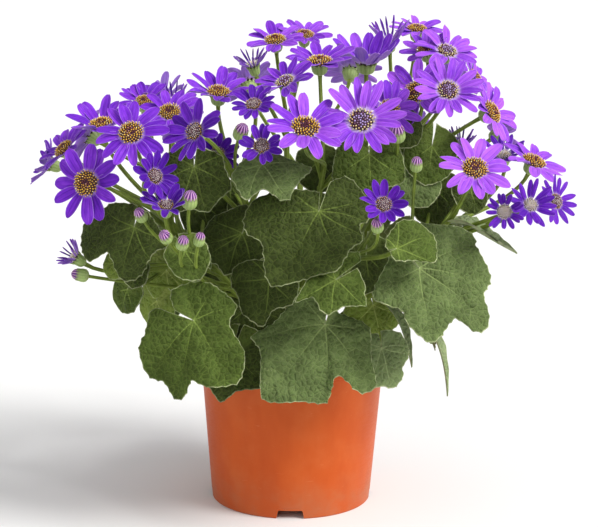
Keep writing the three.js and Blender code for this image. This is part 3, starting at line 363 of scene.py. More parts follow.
def grid_faces(rows, columns, closed=False):
    """Quads of rows x columns points numbered row by row; closed joins the last column to the first."""
    across = columns if closed else columns - 1
    i, j = np.meshgrid(np.arange(rows - 1), np.arange(across), indexing="ij")
    here, right = i * columns + j, i * columns + (j + 1) % columns
    return np.stack([here, here + columns, right + columns, right], -1).reshape(-1, 4)


class Patch:
    """Points in millimetres with two looks (vectors for the materials to read) and faces, for one piece."""

    def __init__(self):
        self.points, self.place, self.look, self.faces, self.kinds = [], [], [], [], []
        self.count = 0

    def add(self, points, faces, place=NOTHING, look=NOTHING, kind=0):
        """`faces` is a list of arrays of 3 or 4 corners; `kind` is the number of a material in the piece."""
        points = np.asarray(points, float).reshape(-1, 3)
        for face in faces:
            self.faces.append(np.asarray(face) + self.count)
            self.kinds.append(np.full(len(face), kind))
        self.points.append(points)
        for values, kept in ((place, self.place), (look, self.look)):
            kept.append(np.broadcast_to(np.reshape(values, (-1, 3)), points.shape))
        self.count += len(points)

    def add_slab(self, top, bottom, place, look, kind=0):
        """A thin closed sheet from two grids of points. The third number of the look says which side."""
        rows, columns = top.shape[:2]
        size = rows * columns
        faces = grid_faces(rows, columns)
        first, left = np.arange(columns), np.arange(rows) * columns
        last, right = first + size - columns, left + columns - 1
        loop = np.concatenate([last, right[-2::-1], first[-2::-1], left[1:-1]])
        following = np.roll(loop, -1)
        rim = np.stack([loop, loop + size, following + size, following], -1)
        sides = np.stack([look, look])
        sides[0, ..., 2] = 0
        sides[1, ..., 2] = 1
        self.add(np.stack([top, bottom]), [faces, faces[:, ::-1] + size, rim], [place, place], sides, kind)

    def add_body(self, rings, low, high, place=NOTHING, look=NOTHING, kind=0):
        """A closed body of rings of points, whose ends are fans of triangles round the points low and high.
        An end's place and look are those of the first point of its ring."""
        rows, segments = rings.shape[:2]
        count = rows * segments
        first = np.arange(segments)
        following = np.roll(first, -1)
        last = count - segments
        faces = [
            grid_faces(rows, segments, closed=True)[:, ::-1],
            np.stack([first, np.full(segments, count), following], -1),
            np.stack([first + last, following + last, np.full(segments, count + 1)], -1),
        ]
        place, look = (
            values if np.ndim(values) == 1 else np.vstack([np.reshape(values, (-1, 3)), values[[0, -1], 0]])
            for values in (place, look)
        )
        self.add(np.vstack([rings.reshape(-1, 3), [low, high]]), faces, place, look, kind)


def placed(name, data):
    made = bpy.data.objects.new(name, data)
    bpy.context.scene.collection.objects.link(made)
    return made


def piece(name, patch, materials, replaced, sharp=50):
    """Makes the mesh of a patch and rides it on the part, in place of a node of the model."""
    mesh = bpy.data.meshes.new(name)
    points = np.concatenate(patch.points) * MM
    mesh.vertices.add(len(points))
    mesh.vertices.foreach_set("co", points.ravel())
    corners = np.concatenate([face.ravel() for face in patch.faces])
    totals = np.concatenate([np.full(len(face), face.shape[1]) for face in patch.faces])
    mesh.loops.add(len(corners))
    mesh.loops.foreach_set("vertex_index", corners)
    mesh.polygons.add(len(totals))
    mesh.polygons.foreach_set("loop_start", np.cumsum(totals) - totals)
    mesh.polygons.foreach_set("material_index", np.concatenate(patch.kinds))
    mesh.polygons.foreach_set("use_smooth", np.ones(len(totals), bool))
    for channel in ("place", "look"):
        values = np.concatenate(getattr(patch, channel))
        mesh.attributes.new(channel, "FLOAT_VECTOR", "POINT").data.foreach_set("vector", values.ravel())
    for material in materials:
        mesh.materials.append(material)
    mesh.update(calc_edges=True)
    mesh.validate()
    mesh.set_sharp_from_angle(angle=sharp * RAD)
    made = placed(name, mesh)
    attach(made, "root")
    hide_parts(replaced)
    return made


def curve_through(path):
    """The centripetal Catmull-Rom curve through points, as a dense list, with its arc length at each."""
    path = np.asarray(path, float)
    path = np.vstack([2 * path[0] - path[1], path, 2 * path[-1] - path[-2]])
    dense = []
    for i in range(len(path) - 3):
        a, b, c, d = path[i : i + 4]
        before, here, after = (math.sqrt(np.linalg.norm(q - p)) for p, q in ((a, b), (b, c), (c, d)))
        leave = ((b - a) / before - (c - a) / (before + here) + (c - b) / here) * here
        arrive = ((c - b) / here - (d - b) / (here + after) + (d - c) / after) * here
        t = np.linspace(0, 1, CURVE_STEPS + 1)[: CURVE_STEPS + (i == len(path) - 4), None]
        square, cube = 3 * (c - b) - 2 * leave - arrive, 2 * (b - c) + leave + arrive
        dense.append(b + leave * t + square * t**2 + cube * t**3)
    dense = np.vstack(dense)
    length = arc_length(dense)
    return dense, length / length[-1]


CURVES = {branch: curve_through(path) for branch, (path, _) in BRANCHES.items()}


def points_at(branch, shares):
    dense, length = CURVES[branch]
    return np.stack([np.interp(shares, length, dense[:, k]) for k in range(3)], -1)


def stalk_path(branch, share, foot, heading, steps=14):
    """A Bezier curve from a share of a branch's length to a foot, which it reaches along its heading."""
    before, start, after = points_at(branch, (share - TANGENT_REACH, share, share + TANGENT_REACH))
    span = np.linalg.norm(foot - start)
    b = start + LEAVING_SHARE * span * unit(after - before)
    c = foot - ARRIVING_SHARE * span * heading
    t = np.linspace(0, 1, steps + 1)[:, None]
    return (1 - t) ** 3 * start + 3 * (1 - t) ** 2 * t * b + 3 * (1 - t) * t**2 * c + t**3 * foot


def rings_along(points, end_along=None):
    """For each point of a path, two directions across it that turn as little as may be."""
    along = unit(np.gradient(points, axis=0))
    if end_along is not None:
        along[-1] = end_along
    across = np.cross(UP, along[0])
    if np.linalg.norm(across) < 0.1:
        across = np.array([1.0, 0, 0])
    sideways = []
    for step in along:
        across = unit(across - step * across.dot(step))
        sideways.append(across)
    return np.array(sideways), np.cross(along, sideways)


def add_tube(patch, points, radii, sides=10, ribs=STALK_RIBS, rib=0.07, end_along=None):
    """A closed ribbed tube. Its place tells the share of the length, the turn and the radius."""
    points = np.asarray(points, float)
    across, other = rings_along(points, end_along)
    radii = np.broadcast_to(radii, len(points)).astype(float)[:, None]
    turn = turns(sides)
    reach = radii * (1 + rib * np.cos(ribs * turn))
    rings = (
        points[:, None]
        + across[:, None] * (reach * np.cos(turn))[..., None]
        + other[:, None] * (reach * np.sin(turn))[..., None]
    )
    share = np.linspace(0, 1, len(points))[:, None]
    patch.add_body(rings, points[0], points[-1], stacked(share, turn / FULL_TURN, radii))


# ------------------------------------------------------------------ materials

# A petal's colour from the darkest head to the palest.
PETAL_COLOURS = [(0.075, 0.003, 0.335), (0.185, 0.022, 0.590), (0.440, 0.115, 0.860)]
GREEN_GLOW = (0.6, 1.0, 0.2)


class Nodes:
    """Short words for building one material out of nodes."""

    def __init__(self, name, **shader):
        self.material = bpy.data.materials.new(name)
        self.material.use_nodes = True
        self.tree = self.material.node_tree
        self.tree.nodes.clear()
        self.shader = self.add("ShaderNodeBsdfPrincipled")
        output = self.add("ShaderNodeOutputMaterial")
        self.tree.links.new(self.shader.outputs[0], output.inputs["Surface"])
        for socket, value in shader.items():
            self.put(value, self.shader.inputs[socket.replace("_", " ")])

    def add(self, kind, **settings):
        node = self.tree.nodes.new(kind)
        for key, value in settings.items():
            setattr(node, key, value)
        return node

    def put(self, value, socket):
        if isinstance(value, bpy.types.NodeSocket):
            self.tree.links.new(value, socket)
        elif socket.type == "RGBA":
            socket.default_value = (*value, 1)
        else:
            socket.default_value = value

    def made(self, node, values, sockets):
        """The first output of a node, once the values are in the sockets of these names or numbers."""
        for value, socket in zip(values, sockets):
            self.put(value, node.inputs[socket])
        return node.outputs[0]

    def split(self, vector):
        node = self.add("ShaderNodeSeparateXYZ")
        self.put(vector, node.inputs[0])
        return node.outputs

    def attribute(self, name):
        return self.split(self.add("ShaderNodeAttribute", attribute_name=name).outputs["Vector"])

    def object_place(self):
        return self.add("ShaderNodeTexCoord").outputs["Object"]

    def math(self, operation, *values):
        return self.made(self.add("ShaderNodeMath", operation=operation), values, range(2))

    def times(self, first, second):
        return self.math("MULTIPLY", first, second)

    def plus(self, first, second):
        return self.math("ADD", first, second)

    def apart(self, value, middle):
        """How far a value is from a middle, either way."""
        return self.math("ABSOLUTE", self.math("SUBTRACT", value, middle))

    def vector(self, x, y, z=0.0):
        return self.made(self.add("ShaderNodeCombineXYZ"), (x, y, z), range(3))

    def mix(self, factor, first, second, blend="MIX"):
        node = self.add("ShaderNodeMix", data_type="RGBA", blend_type=blend)
        self.made(node, (factor, first, second), (0, 6, 7))
        return node.outputs[2]

    def step(self, value, low, high, start=0.0, end=1.0):
        """A smooth step from start at low to end at high."""
        node = self.add("ShaderNodeMapRange", interpolation_type="SMOOTHSTEP")
        return self.made(node, (value, low, high, start, end), range(5))

    def ramp(self, value, colours):
        """Colours spread evenly from 0 to 1."""
        node = self.add("ShaderNodeValToRGB")
        stops = node.color_ramp.elements
        while len(stops) < len(colours):
            stops.new(0.5)
        for i, colour in enumerate(colours):
            stops[i].position = i / (len(colours) - 1)
            stops[i].color = (*colour, 1)
        return self.made(node, [value], [0])

    def noise(self, vector, scale, detail=2.0, roughness=0.5, distortion=0.0):
        values = (vector, scale, detail, roughness, distortion)
        names = ("Vector", "Scale", "Detail", "Roughness", "Distortion")
        return self.made(self.add("ShaderNodeTexNoise"), values, names)

    def cells(self, vector, scale):
        """The distance to the edge between cells."""
        node = self.add("ShaderNodeTexVoronoi", feature="DISTANCE_TO_EDGE")
        return self.made(node, (vector, scale), ("Vector", "Scale"))

    def finished(self, colour, relief, depth, **more):
        """The material, with its colour and a relief of `depth` metres where it runs from 0 to 1."""
        normal = self.made(self.add("ShaderNodeBump"), (relief, depth), ("Height", "Distance"))
        for socket, value in {"Base Color": colour, "Normal": normal, **more}.items():
            self.put(value, self.shader.inputs[socket])
        return self.material


def pot_plastic():
    """Injection-moulded plastic: faint flow marks up the wall, a fine grain and light scuffs."""
    nodes = Nodes("terracotta plastic", Specular_IOR_Level=0.2)
    place = nodes.object_place()
    x, y, z = nodes.split(place)
    flow = nodes.noise(nodes.vector(nodes.times(x, 3), nodes.times(y, 3), z), 14, 3, 0.6)
    mottle = nodes.noise(place, 45, 4, 0.6)
    grain = nodes.noise(place, 1800, 2, 0.6)
    scuffs = nodes.noise(nodes.vector(x, y, nodes.times(z, 6)), 90, 5, 0.7, 1.5)
    colour = nodes.mix(nodes.step(flow, 0.3, 0.7), (0.50, 0.074, 0.007), (0.56, 0.094, 0.011))
    colour = nodes.mix(nodes.step(mottle, 0.45, 0.75, 0, 0.3), colour, (0.60, 0.14, 0.035))
    colour = nodes.mix(nodes.step(scuffs, 0.62, 0.72, 0, 0.25), colour, (0.70, 0.28, 0.13))
    dust = nodes.times(nodes.step(z, 0.035, 0.0), nodes.step(mottle, 0.35, 0.7, 0.1, 0.5))
    colour = nodes.mix(dust, colour, (0.34, 0.15, 0.08))
    relief = nodes.plus(nodes.times(grain, 0.35), flow)
    return nodes.finished(colour, relief, 0.00012, Roughness=nodes.step(scuffs, 0.4, 0.75, 0.42, 0.56))


def peat():
    """Fine dark grains with damper patches. `look` starts with how pale a crumb is."""
    nodes = Nodes("peat", Roughness=0.95, Specular_IOR_Level=0.2)
    place = nodes.object_place()
    crumb = nodes.attribute("look")[0]
    grains = nodes.noise(place, 700, 4, 0.7)
    patches = nodes.noise(place, 60, 2)
    colour = nodes.ramp(grains, [(0.006, 0.003, 0.002), (0.033, 0.017, 0.010), (0.085, 0.046, 0.026)])
    colour = nodes.mix(nodes.step(patches, 0.4, 0.7, 0, 0.5), colour, (0.014, 0.008, 0.005))
    colour = nodes.mix(nodes.step(crumb, 0.75, 1, 0, 0.6), colour, (0.13, 0.078, 0.045))
    return nodes.finished(colour, grains, 0.0008)


def leaf_skin(name, face, vein, back):
    """A felted blade. `place` holds the distance to a main vein, along it and to the rim, in millimetres."""
    nodes = Nodes(
        "leaf " + name, Subsurface_Weight=0.12, Subsurface_Radius=(0.5, 1.0, 0.2), Subsurface_Scale=0.0012,
        Specular_IOR_Level=0.12,
    )
    off, along, rim = nodes.attribute("place")
    x, y, side = nodes.attribute("look")
    flat = nodes.vector(x, y)
    patches = nodes.noise(flat, 0.06, 3, 0.6)
    felt = nodes.noise(flat, 2.6, 4, 0.8)
    net = nodes.cells(nodes.vector(x, y, 3.3), 0.29)
    fine_net = nodes.cells(nodes.vector(x, y, 7.1), 0.95)

    halfwidth = nodes.step(along, 0, 40, 0.3, 0.04)
    primary = nodes.step(nodes.math("SUBTRACT", off, halfwidth), 0.0, 0.3, 1, 0)
    primary = nodes.times(primary, nodes.step(along, 3, 38, 0.7, 0.3))
    wave = nodes.times(nodes.noise(flat, 0.16, 1), 0.8)
    rung = nodes.math("SUBTRACT", along, nodes.times(off, 0.7))
    rung = nodes.plus(nodes.plus(nodes.math("DIVIDE", rung, VEIN_RUNG), wave), 20)
    apart = nodes.apart(nodes.math("FRACT", rung), 0.5)
    secondary = nodes.times(nodes.step(apart, 0.008, 0.035, 0.34, 0), nodes.step(off, 0.3, 10, 1, 0.3))
    tertiary = nodes.step(net, 0.01, 0.09, 0.2, 0)
    veins = nodes.math("MAXIMUM", primary, nodes.math("MAXIMUM", secondary, tertiary))

    light = [1.25 * c + 0.003 for c in face]
    dark = [0.78 * c for c in face]
    down = [0.8 * c + tint for c, tint in zip(face, (0.06, 0.069, 0.03))]
    colour = nodes.mix(nodes.step(patches, 0.3, 0.7), dark, light)
    colour = nodes.mix(nodes.step(felt, 0.45, 0.8, 0, 0.5), colour, down)
    colour = nodes.mix(nodes.step(along, 0, 7, 0.35, 0), colour, vein)
    colour = nodes.mix(veins, colour, vein)
    colour = nodes.mix(side, colour, nodes.mix(veins, back, [1.35 * c for c in back]))
    bright = nodes.times(nodes.step(rim, 0.25, 0.75, 1, 0), nodes.step(patches, 0.42, 0.62, 0.3, 0.85))
    colour = nodes.mix(bright, colour, (0.50, 0.55, 0.30))
    relief = nodes.plus(nodes.step(net, 0, 0.4, 0, 0.7), nodes.step(apart, 0, 0.3, 0, 0.5))
    relief = nodes.plus(relief, nodes.step(fine_net, 0, 0.4, 0, 0.15))
    relief = nodes.plus(relief, nodes.times(felt, 0.2))
    relief = nodes.times(relief, nodes.step(side, 0, 1, 1, -1))
    return nodes.finished(colour, relief, 0.0012, Roughness=nodes.step(felt, 0.2, 0.8, 0.56, 0.74))


def stem_skin():
    """Ribbed green skin with pale lengthwise lines and fine down. `place` holds share, turn and radius."""
    nodes = Nodes(
        "stem green", Subsurface_Weight=0.1, Subsurface_Radius=GREEN_GLOW, Subsurface_Scale=0.001,
        Specular_IOR_Level=0.22, Roughness=0.55,
    )
    turn = nodes.attribute("place")[1]
    place = nodes.object_place()
    mottle = nodes.noise(place, 130, 3, 0.6)
    fine = nodes.noise(place, 2600, 2, 0.6)
    ribs = nodes.math("SINE", nodes.times(turn, FULL_TURN * STALK_RIBS))
    colour = nodes.mix(nodes.step(mottle, 0.3, 0.7), (0.095, 0.140, 0.014), (0.175, 0.245, 0.028))
    colour = nodes.mix(nodes.step(ribs, 0.3, 1, 0, 0.45), colour, (0.30, 0.375, 0.085))
    colour = nodes.mix(nodes.step(fine, 0.55, 0.8, 0, 0.22), colour, (0.34, 0.40, 0.14))
    return nodes.finished(colour, nodes.plus(nodes.times(ribs, 0.3), fine), 0.00015)


def bract_skin():
    """The green scales of a flower cup, dark at their tips. `look` starts with turn and height."""
    nodes = Nodes(
        "bracts", Subsurface_Weight=0.15, Subsurface_Radius=GREEN_GLOW, Subsurface_Scale=0.001, Roughness=0.5
    )
    turn, height, _ = nodes.attribute("look")
    fine = nodes.noise(nodes.object_place(), 1900, 2, 0.6)
    flutes = nodes.math("COSINE", nodes.times(turn, FULL_TURN * BRACTS))
    colour = nodes.mix(nodes.step(flutes, -1, 0.2), (0.25, 0.36, 0.095), (0.32, 0.43, 0.14))
    colour = nodes.mix(nodes.step(height, 0.35, 0.0, 0, 0.5), colour, (0.42, 0.50, 0.22))
    colour = nodes.mix(nodes.step(height, 0.86, 1.0, 0, 0.75), colour, (0.10, 0.05, 0.05))
    colour = nodes.mix(nodes.step(fine, 0.55, 0.8, 0, 0.25), colour, (0.44, 0.52, 0.28))
    return nodes.finished(colour, nodes.plus(fine, nodes.times(flutes, 0.2)), 0.0002)


def petal_skin():
    """Silky violet. `place` is along, across and a draw; `look` is the head's tone, a draw and the side."""
    nodes = Nodes(
        "petal", Subsurface_Weight=0.15, Subsurface_Radius=(0.6, 0.35, 1.0), Subsurface_Scale=0.001,
        Specular_IOR_Level=0.18, Sheen_Weight=0.04, Sheen_Tint=(0.86, 0.72, 1.0),
    )
    along, across, draw = nodes.attribute("place")
    tone, other, side = nodes.attribute("look")

    def stretched(lengthwise, crosswise, apart, detail):
        scaled = [nodes.times(v, k) for v, k in ((along, lengthwise), (across, crosswise), (draw, apart))]
        return nodes.noise(nodes.vector(*scaled), 1.0, detail, 0.6)

    streaks = stretched(1.2, 8, 40, 3)
    cloud = stretched(3, 2, 90, 2)
    cells = stretched(120, 68, 1, 2)
    edge = nodes.math("ABSOLUTE", across)
    shade = nodes.plus(tone, nodes.step(streaks, 0.3, 0.7, -0.12, 0.12))
    shade = nodes.plus(shade, nodes.step(cloud, 0.35, 0.65, -0.07, 0.07))
    shade = nodes.plus(shade, nodes.step(other, 0, 1, -0.13, 0.13))
    shade = nodes.plus(shade, nodes.step(along, 0.2, 1.0, -0.04, 0.05))
    colour = nodes.ramp(shade, PETAL_COLOURS)
    # The two lengthwise grooves are darkened: painted shade in them.
    groove = nodes.step(nodes.apart(edge, 0.4), 0.02, 0.14, 1, 0)
    groove = nodes.times(groove, nodes.step(along, 0.97, 0.5, 0.1, 0.5))
    colour = nodes.mix(groove, colour, nodes.mix(1, colour, (0.45, 0.32, 0.62), "MULTIPLY"))
    base = nodes.times(nodes.step(along, 0.22, 0.06), nodes.step(tone, 0.25, 0.55, 0.25, 0.8))
    colour = nodes.mix(base, colour, (0.66, 0.52, 0.88))
    # The petal's edges are paler: a painted highlight along them.
    rim = nodes.times(nodes.step(edge, 0.86, 0.98), nodes.step(tone, 0.15, 0.5, 0.25, 0.45))
    colour = nodes.mix(rim, colour, (0.60, 0.36, 0.88))
    under = nodes.mix(nodes.step(tone, 0.35, 0.15, 0.4, 0.7), colour, (0.56, 0.38, 0.84))
    colour = nodes.mix(side, colour, under)
    lines = nodes.math("SINE", nodes.times(across, 42))
    relief = nodes.plus(nodes.times(lines, 0.25), nodes.times(streaks, 0.9))
    relief = nodes.plus(relief, nodes.times(cells, 0.35))
    return nodes.finished(colour, relief, 0.00018, Roughness=nodes.step(cells, 0.3, 0.7, 0.45, 0.58))


def floret_skin():
    """The disc's florets: each point's colour is in `look`."""
    nodes = Nodes("florets", Roughness=0.6, Subsurface_Weight=0.1, Subsurface_Scale=0.0006)
    given = nodes.add("ShaderNodeAttribute", attribute_name="look").outputs["Color"]
    fine = nodes.noise(nodes.object_place(), 4200, 2, 0.7)
    colour = nodes.mix(nodes.step(fine, 0.3, 0.8, 0.0, 0.2), given, (0.45, 0.36, 0.24), "SOFT_LIGHT")
    return nodes.finished(colour, fine, 0.00012)


def bud_tip_skin():
    """Furled petals at a bud's tip, striped violet and pale pink. `look` starts with turn and height."""
    nodes = Nodes("bud tip", Roughness=0.45, Subsurface_Weight=0.15, Subsurface_Scale=0.001)
    turn, height, _ = nodes.attribute("look")
    folds = nodes.math("COSINE", nodes.times(turn, FULL_TURN * BUD_FOLDS))
    colour = nodes.mix(nodes.step(folds, -0.4, 0.7), (0.12, 0.01, 0.20), (0.62, 0.34, 0.62))
    colour = nodes.mix(nodes.step(height, 0.15, 0.5, 0.6, 0), colour, (0.36, 0.36, 0.20))
    return nodes.finished(colour, folds, 0.0002)


# ------------------------------------------------------------------ pot

POT_SEGMENTS = 180
HOLE_SEGMENTS = 24
POT_SHARP_ANGLE = 40


def pot_inside(z):
    return POT_FOOT_RADIUS - POT_WALL + (POT_BAND_RADIUS - POT_FOOT_RADIUS) * z / POT_BAND_BOTTOM


def rounded(corners, steps=4):
    """A profile of (r, z) with each corner that gives a third number rounded to that radius."""
    made = []
    for i, corner in enumerate(corners):
        here = np.array(corner[:2], float)
        if len(corner) == 2:
            made.append(here)
            continue
        before = unit(np.array(corners[i - 1][:2]) - here)
        after = unit(np.array(corners[i + 1][:2]) - here)
        half = math.acos(np.clip(before.dot(after), -1, 1)) / 2
        back = corner[2] / math.tan(half)
        centre = here + unit(before + after) * corner[2] / math.sin(half)
        start, end = here + before * back - centre, here + after * back - centre
        for t in np.linspace(0, 1, steps + 1):
            made.append(centre + unit(start * (1 - t) + end * t) * corner[2])
    return made


def add_prism(mesh, outline, low, high, place):
    """Adds a prism of an outline in X and Z that runs along Y from low to high, then moved by place."""
    near, far = ([mesh.verts.new((x * MM, y * MM, z * MM)) for x, z in outline] for y in (low, high))
    mesh.faces.new(near)
    mesh.faces.new(far[::-1])
    for i in range(len(outline)):
        j = (i + 1) % len(outline)
        mesh.faces.new((near[j], near[i], far[i], far[j]))
    bmesh.ops.transform(mesh, matrix=place, verts=near + far)


def cutter():
    """One object of the four foot notches and the drain holes."""
    made = bmesh.new()
    half = NOTCH_WIDTH / 2
    shoulder = half - NOTCH_TAPER
    notch = rounded([(-half, -2), (-shoulder, FOOT_HEIGHT, 1.2), (shoulder, FOOT_HEIGHT, 1.2), (half, -2)])
    for k in range(NOTCH_COUNT):
        turn = Matrix.Rotation(FULL_TURN * k / NOTCH_COUNT, 4, "Z")
        add_prism(made, notch, -POT_FOOT_RADIUS - NOTCH_DEPTH / 2, -POT_FOOT_RADIUS + NOTCH_DEPTH / 2, turn)
    angles = np.linspace(0, FULL_TURN, HOLE_SEGMENTS + 1)[:-1]
    hole = [(DRAIN_HOLE_RADIUS * math.cos(a), DRAIN_HOLE_RADIUS * math.sin(a)) for a in angles]
    upright = Matrix.Translation((DRAIN_HOLE_CIRCLE * MM, 0, FOOT_HEIGHT * MM))
    upright = upright @ Matrix.Rotation(math.pi / 2, 4, "X")
    for k in range(DRAIN_HOLE_COUNT):
        turn = Matrix.Rotation(FULL_TURN * (k + 0.5) / DRAIN_HOLE_COUNT, 4, "Z")
        add_prism(made, hole, -3 * FLOOR_THICKNESS, 3 * FLOOR_THICKNESS, turn @ upright)
    bmesh.ops.recalc_face_normals(made, faces=made.faces)
    mesh = bpy.data.meshes.new("cutter")
    made.to_mesh(mesh)
    made.free()
    return placed("cutter", mesh)


def make_pot():
    floor_top = FOOT_HEIGHT + FLOOR_THICKNESS
    profile = np.array(rounded([
        (0, 0),
        (FOOT_PAD_RADIUS, 0, 0.8),
        (FOOT_PAD_RADIUS + 2, FOOT_HEIGHT, 0.8),
        (pot_inside(FOOT_HEIGHT), FOOT_HEIGHT, 0.6),
        (pot_inside(0), 0, 0.3),
        (POT_FOOT_RADIUS, 0, 1.1),
        (POT_BAND_RADIUS, POT_BAND_BOTTOM, 0.3),
        (POT_RIM_RADIUS - 0.6, POT_BAND_BOTTOM + 0.8, 0.7),
        (POT_RIM_RADIUS, POT_HEIGHT, 0.8),
        (POT_RIM_RADIUS - POT_RIM_WIDTH, POT_HEIGHT, 0.8),
        (pot_inside(POT_BAND_BOTTOM), POT_BAND_BOTTOM, 3),
        (pot_inside(floor_top), floor_top, 2),
        (FOOT_PAD_RADIUS + 4, floor_top, 0.8),
        (FOOT_PAD_RADIUS + 1, FLOOR_THICKNESS, 0.8),
        (0, FLOOR_THICKNESS),
    ]))
    turn = turns(POT_SEGMENTS)
    radius, height = profile[1:-1, :1], profile[1:-1, 1:]
    rings = stacked(radius * np.cos(turn), radius * np.sin(turn), height)
    patch = Patch()
    patch.add_body(rings, (0, 0, profile[0, 1]), (0, 0, profile[-1, 1]))
    pot = piece("pot_shell", patch, [pot_plastic()], "pot", POT_SHARP_ANGLE)
    cut = pot.modifiers.new("cut", "BOOLEAN")
    cut.operation, cut.solver, cut.object = "DIFFERENCE", "EXACT", cutter()
    done = bpy.data.meshes.new_from_object(pot.evaluated_get(bpy.context.evaluated_depsgraph_get()))
    bpy.data.objects.remove(cut.object)
    pot.modifiers.clear()
    pot.data = done
    done.set_sharp_from_angle(angle=POT_SHARP_ANGLE * RAD)


# ------------------------------------------------------------------ soil

SOIL_SEGMENTS = 120
SOIL_RINGS = 34
SOIL_SEED = 8
CRUMBS = 1300


def soil_top(x, y):
    """Height of the lumpy peat, which is heaped a little round the crown and lower at the wall."""
    lumps = np.sin(x * 0.31 + 1.2) * np.cos(y * 0.27) + 0.6 * np.sin(x * 0.13 - y * 0.21)
    grit = np.sin(x * 1.7 + 0.6 * y) * np.sin(y * 1.9 - 0.4 * x) * 0.5
    reach = np.hypot(x, y)
    top = SOIL_LEVEL + 2 * (1 - smooth(reach, 0, 30)) + lumps * 0.9 + grit
    top += 2.2 * np.exp(-(((reach - 11) / 4) ** 2))
    return top - 2 * smooth(reach, 50, pot_inside(SOIL_LEVEL)) - 3 * (1 - smooth(reach, 6, 9))


def make_soil():
    """The peat: a lumpy top on a plain plug, with a hollow round the crown, and crumbs that lie on it."""

    def fit(z):
        return pot_inside(z) - GAP - 0.1

    floor_top = FOOT_HEIGHT + FLOOR_THICKNESS + GAP
    bottom = FLOOR_THICKNESS + GAP
    hollow = CROWN_BOTTOM - GAP
    walls = [(FOOT_PAD_RADIUS + 0.4, bottom), (FOOT_PAD_RADIUS + 3.4, floor_top), (fit(floor_top), floor_top)]
    walls += [(fit(z), z) for z in (40, 70, SOIL_LEVEL - 4)]
    top_reach = np.linspace(fit(SOIL_LEVEL - 2), SOIL_HOLE_RADIUS + 0.3, SOIL_RINGS)
    reach = np.concatenate([[r for r, _ in walls], top_reach, [SOIL_HOLE_RADIUS]])[:, None]
    turn = turns(SOIL_SEGMENTS)
    x, y = reach * np.cos(turn), reach * np.sin(turn)
    z = soil_top(x, y)
    z[: len(walls)] = [[height] for _, height in walls]
    z[-1] = hollow
    patch = Patch()
    patch.add_body(stacked(x, y, z), (0, 0, bottom), (0, 0, hollow))

    # The crumbs are eight-cornered lumps, jittered.
    random = np.random.default_rng(SOIL_SEED)
    corners = np.array([[x, y, z] for x in (-1, 1) for y in (-1, 1) for z in (-1, 1)], float)
    block = np.array([[0, 1, 3, 2], [4, 6, 7, 5], [0, 4, 5, 1], [2, 3, 7, 6], [0, 2, 6, 4], [1, 5, 7, 3]])
    for _ in range(CRUMBS):
        away = 9 + (fit(SOIL_LEVEL) - 11.5) * math.sqrt(random.random())
        a = FULL_TURN * random.random()
        size = 0.5 + 1.3 * random.random() ** 3
        x, y = away * math.cos(a), away * math.sin(a)
        centre = np.array([x, y, soil_top(x, y) + 0.3 * size])
        turned = np.linalg.qr(random.normal(size=(3, 3)))[0]
        if np.linalg.det(turned) < 0:
            turned[0] *= -1
        lump = corners * random.uniform(0.55, 1.0, (8, 3)) * random.uniform(0.5, 1.0, 3)
        patch.add(centre + size * lump @ turned, [block], look=(random.random(), 0, 0))
    piece("peat", patch, [peat()], "soil", sharp=30)


# ------------------------------------------------------------------ leaves

BLADE_THICKNESS = 0.45
OUTLINE_PASSES = 5
OUTLINE_STRAIGHTNESS = 0.36
NOTCH_CLOSED_AT = 176
BASAL_SHARE = 0.85
TOOTH_LENGTH = 6
VEIN_RUNG = 10
HAIR_LENGTH = 0.9
HAIR_HALF_WIDTH = 0.045
HAIR_CORNERS = (0, 2.1, 4.2)
# How many rings a blade has, and columns between two points of its edge.
LARGE_GRID = (16, 10)
SMALL_GRID = (10, 8)


def smooth_outline(edge, steps):
    """The rounded outline in the blade's plane: a B-spline whose controls are moved out in a few passes, till
    it meets the points of the edge. The basal lobes go on until the notch between them is nearly closed."""
    edge = list(edge)
    if edge[0][0] > -165:
        edge = [(-NOTCH_CLOSED_AT, BASAL_SHARE * edge[0][1]), *edge]
    if edge[-1][0] < 165:
        edge = [*edge, (NOTCH_CLOSED_AT, BASAL_SHARE * edge[-1][1])]

    def extended(points):
        return np.vstack([2 * points[0] - points[1], points, 2 * points[-1] - points[-2]])

    flat = np.array([(reach * math.cos(a * RAD), reach * math.sin(a * RAD)) for a, reach in edge])
    ends = extended(flat)
    for _ in range(OUTLINE_PASSES):
        ends = extended(ends[1:-1] + flat - (ends[:-2] + 4 * ends[1:-1] + ends[2:]) / 6)
    line = []
    for i in range(len(flat) - 1):
        a, b, c, d = ends[i : i + 4] / 6
        t = np.linspace(0, 1, steps + 1)[: steps + (i == len(flat) - 2), None]
        curve = a * (1 - t) ** 3 + b * (4 - 6 * t**2 + 3 * t**3)
        curve += c * (1 + 3 * t + 3 * t**2 - 3 * t**3) + d * t**3
        straight = flat[i] * (1 - t) + flat[i + 1] * t
        line.append(curve * (1 - OUTLINE_STRAIGHTNESS) + straight * OUTLINE_STRAIGHTNESS)
    return np.vstack(line)


def toothed(line, seed):
    """The outline with fine teeth of uneven size, which fade out towards the notch."""
    length = arc_length(line)
    along = unit(np.gradient(line, axis=0))
    outward = np.stack([along[:, 1], -along[:, 0]], -1)
    turn = math.pi * length / TOOTH_LENGTH + 0.5 * np.sin(length / 9 + seed) + seed
    height = (1 - np.abs(np.sin(turn))) ** 1.4 - 0.25
    height = height * (0.75 + 0.25 * np.sin(length / 5.3 + 2 * seed))
    fade = smooth(length, 0, 6) * smooth(length[-1] - length, 0, 6)
    return line + outward * (height * fade * min(1.3, 0.022 * np.abs(line).max() + 0.2))[:, None]


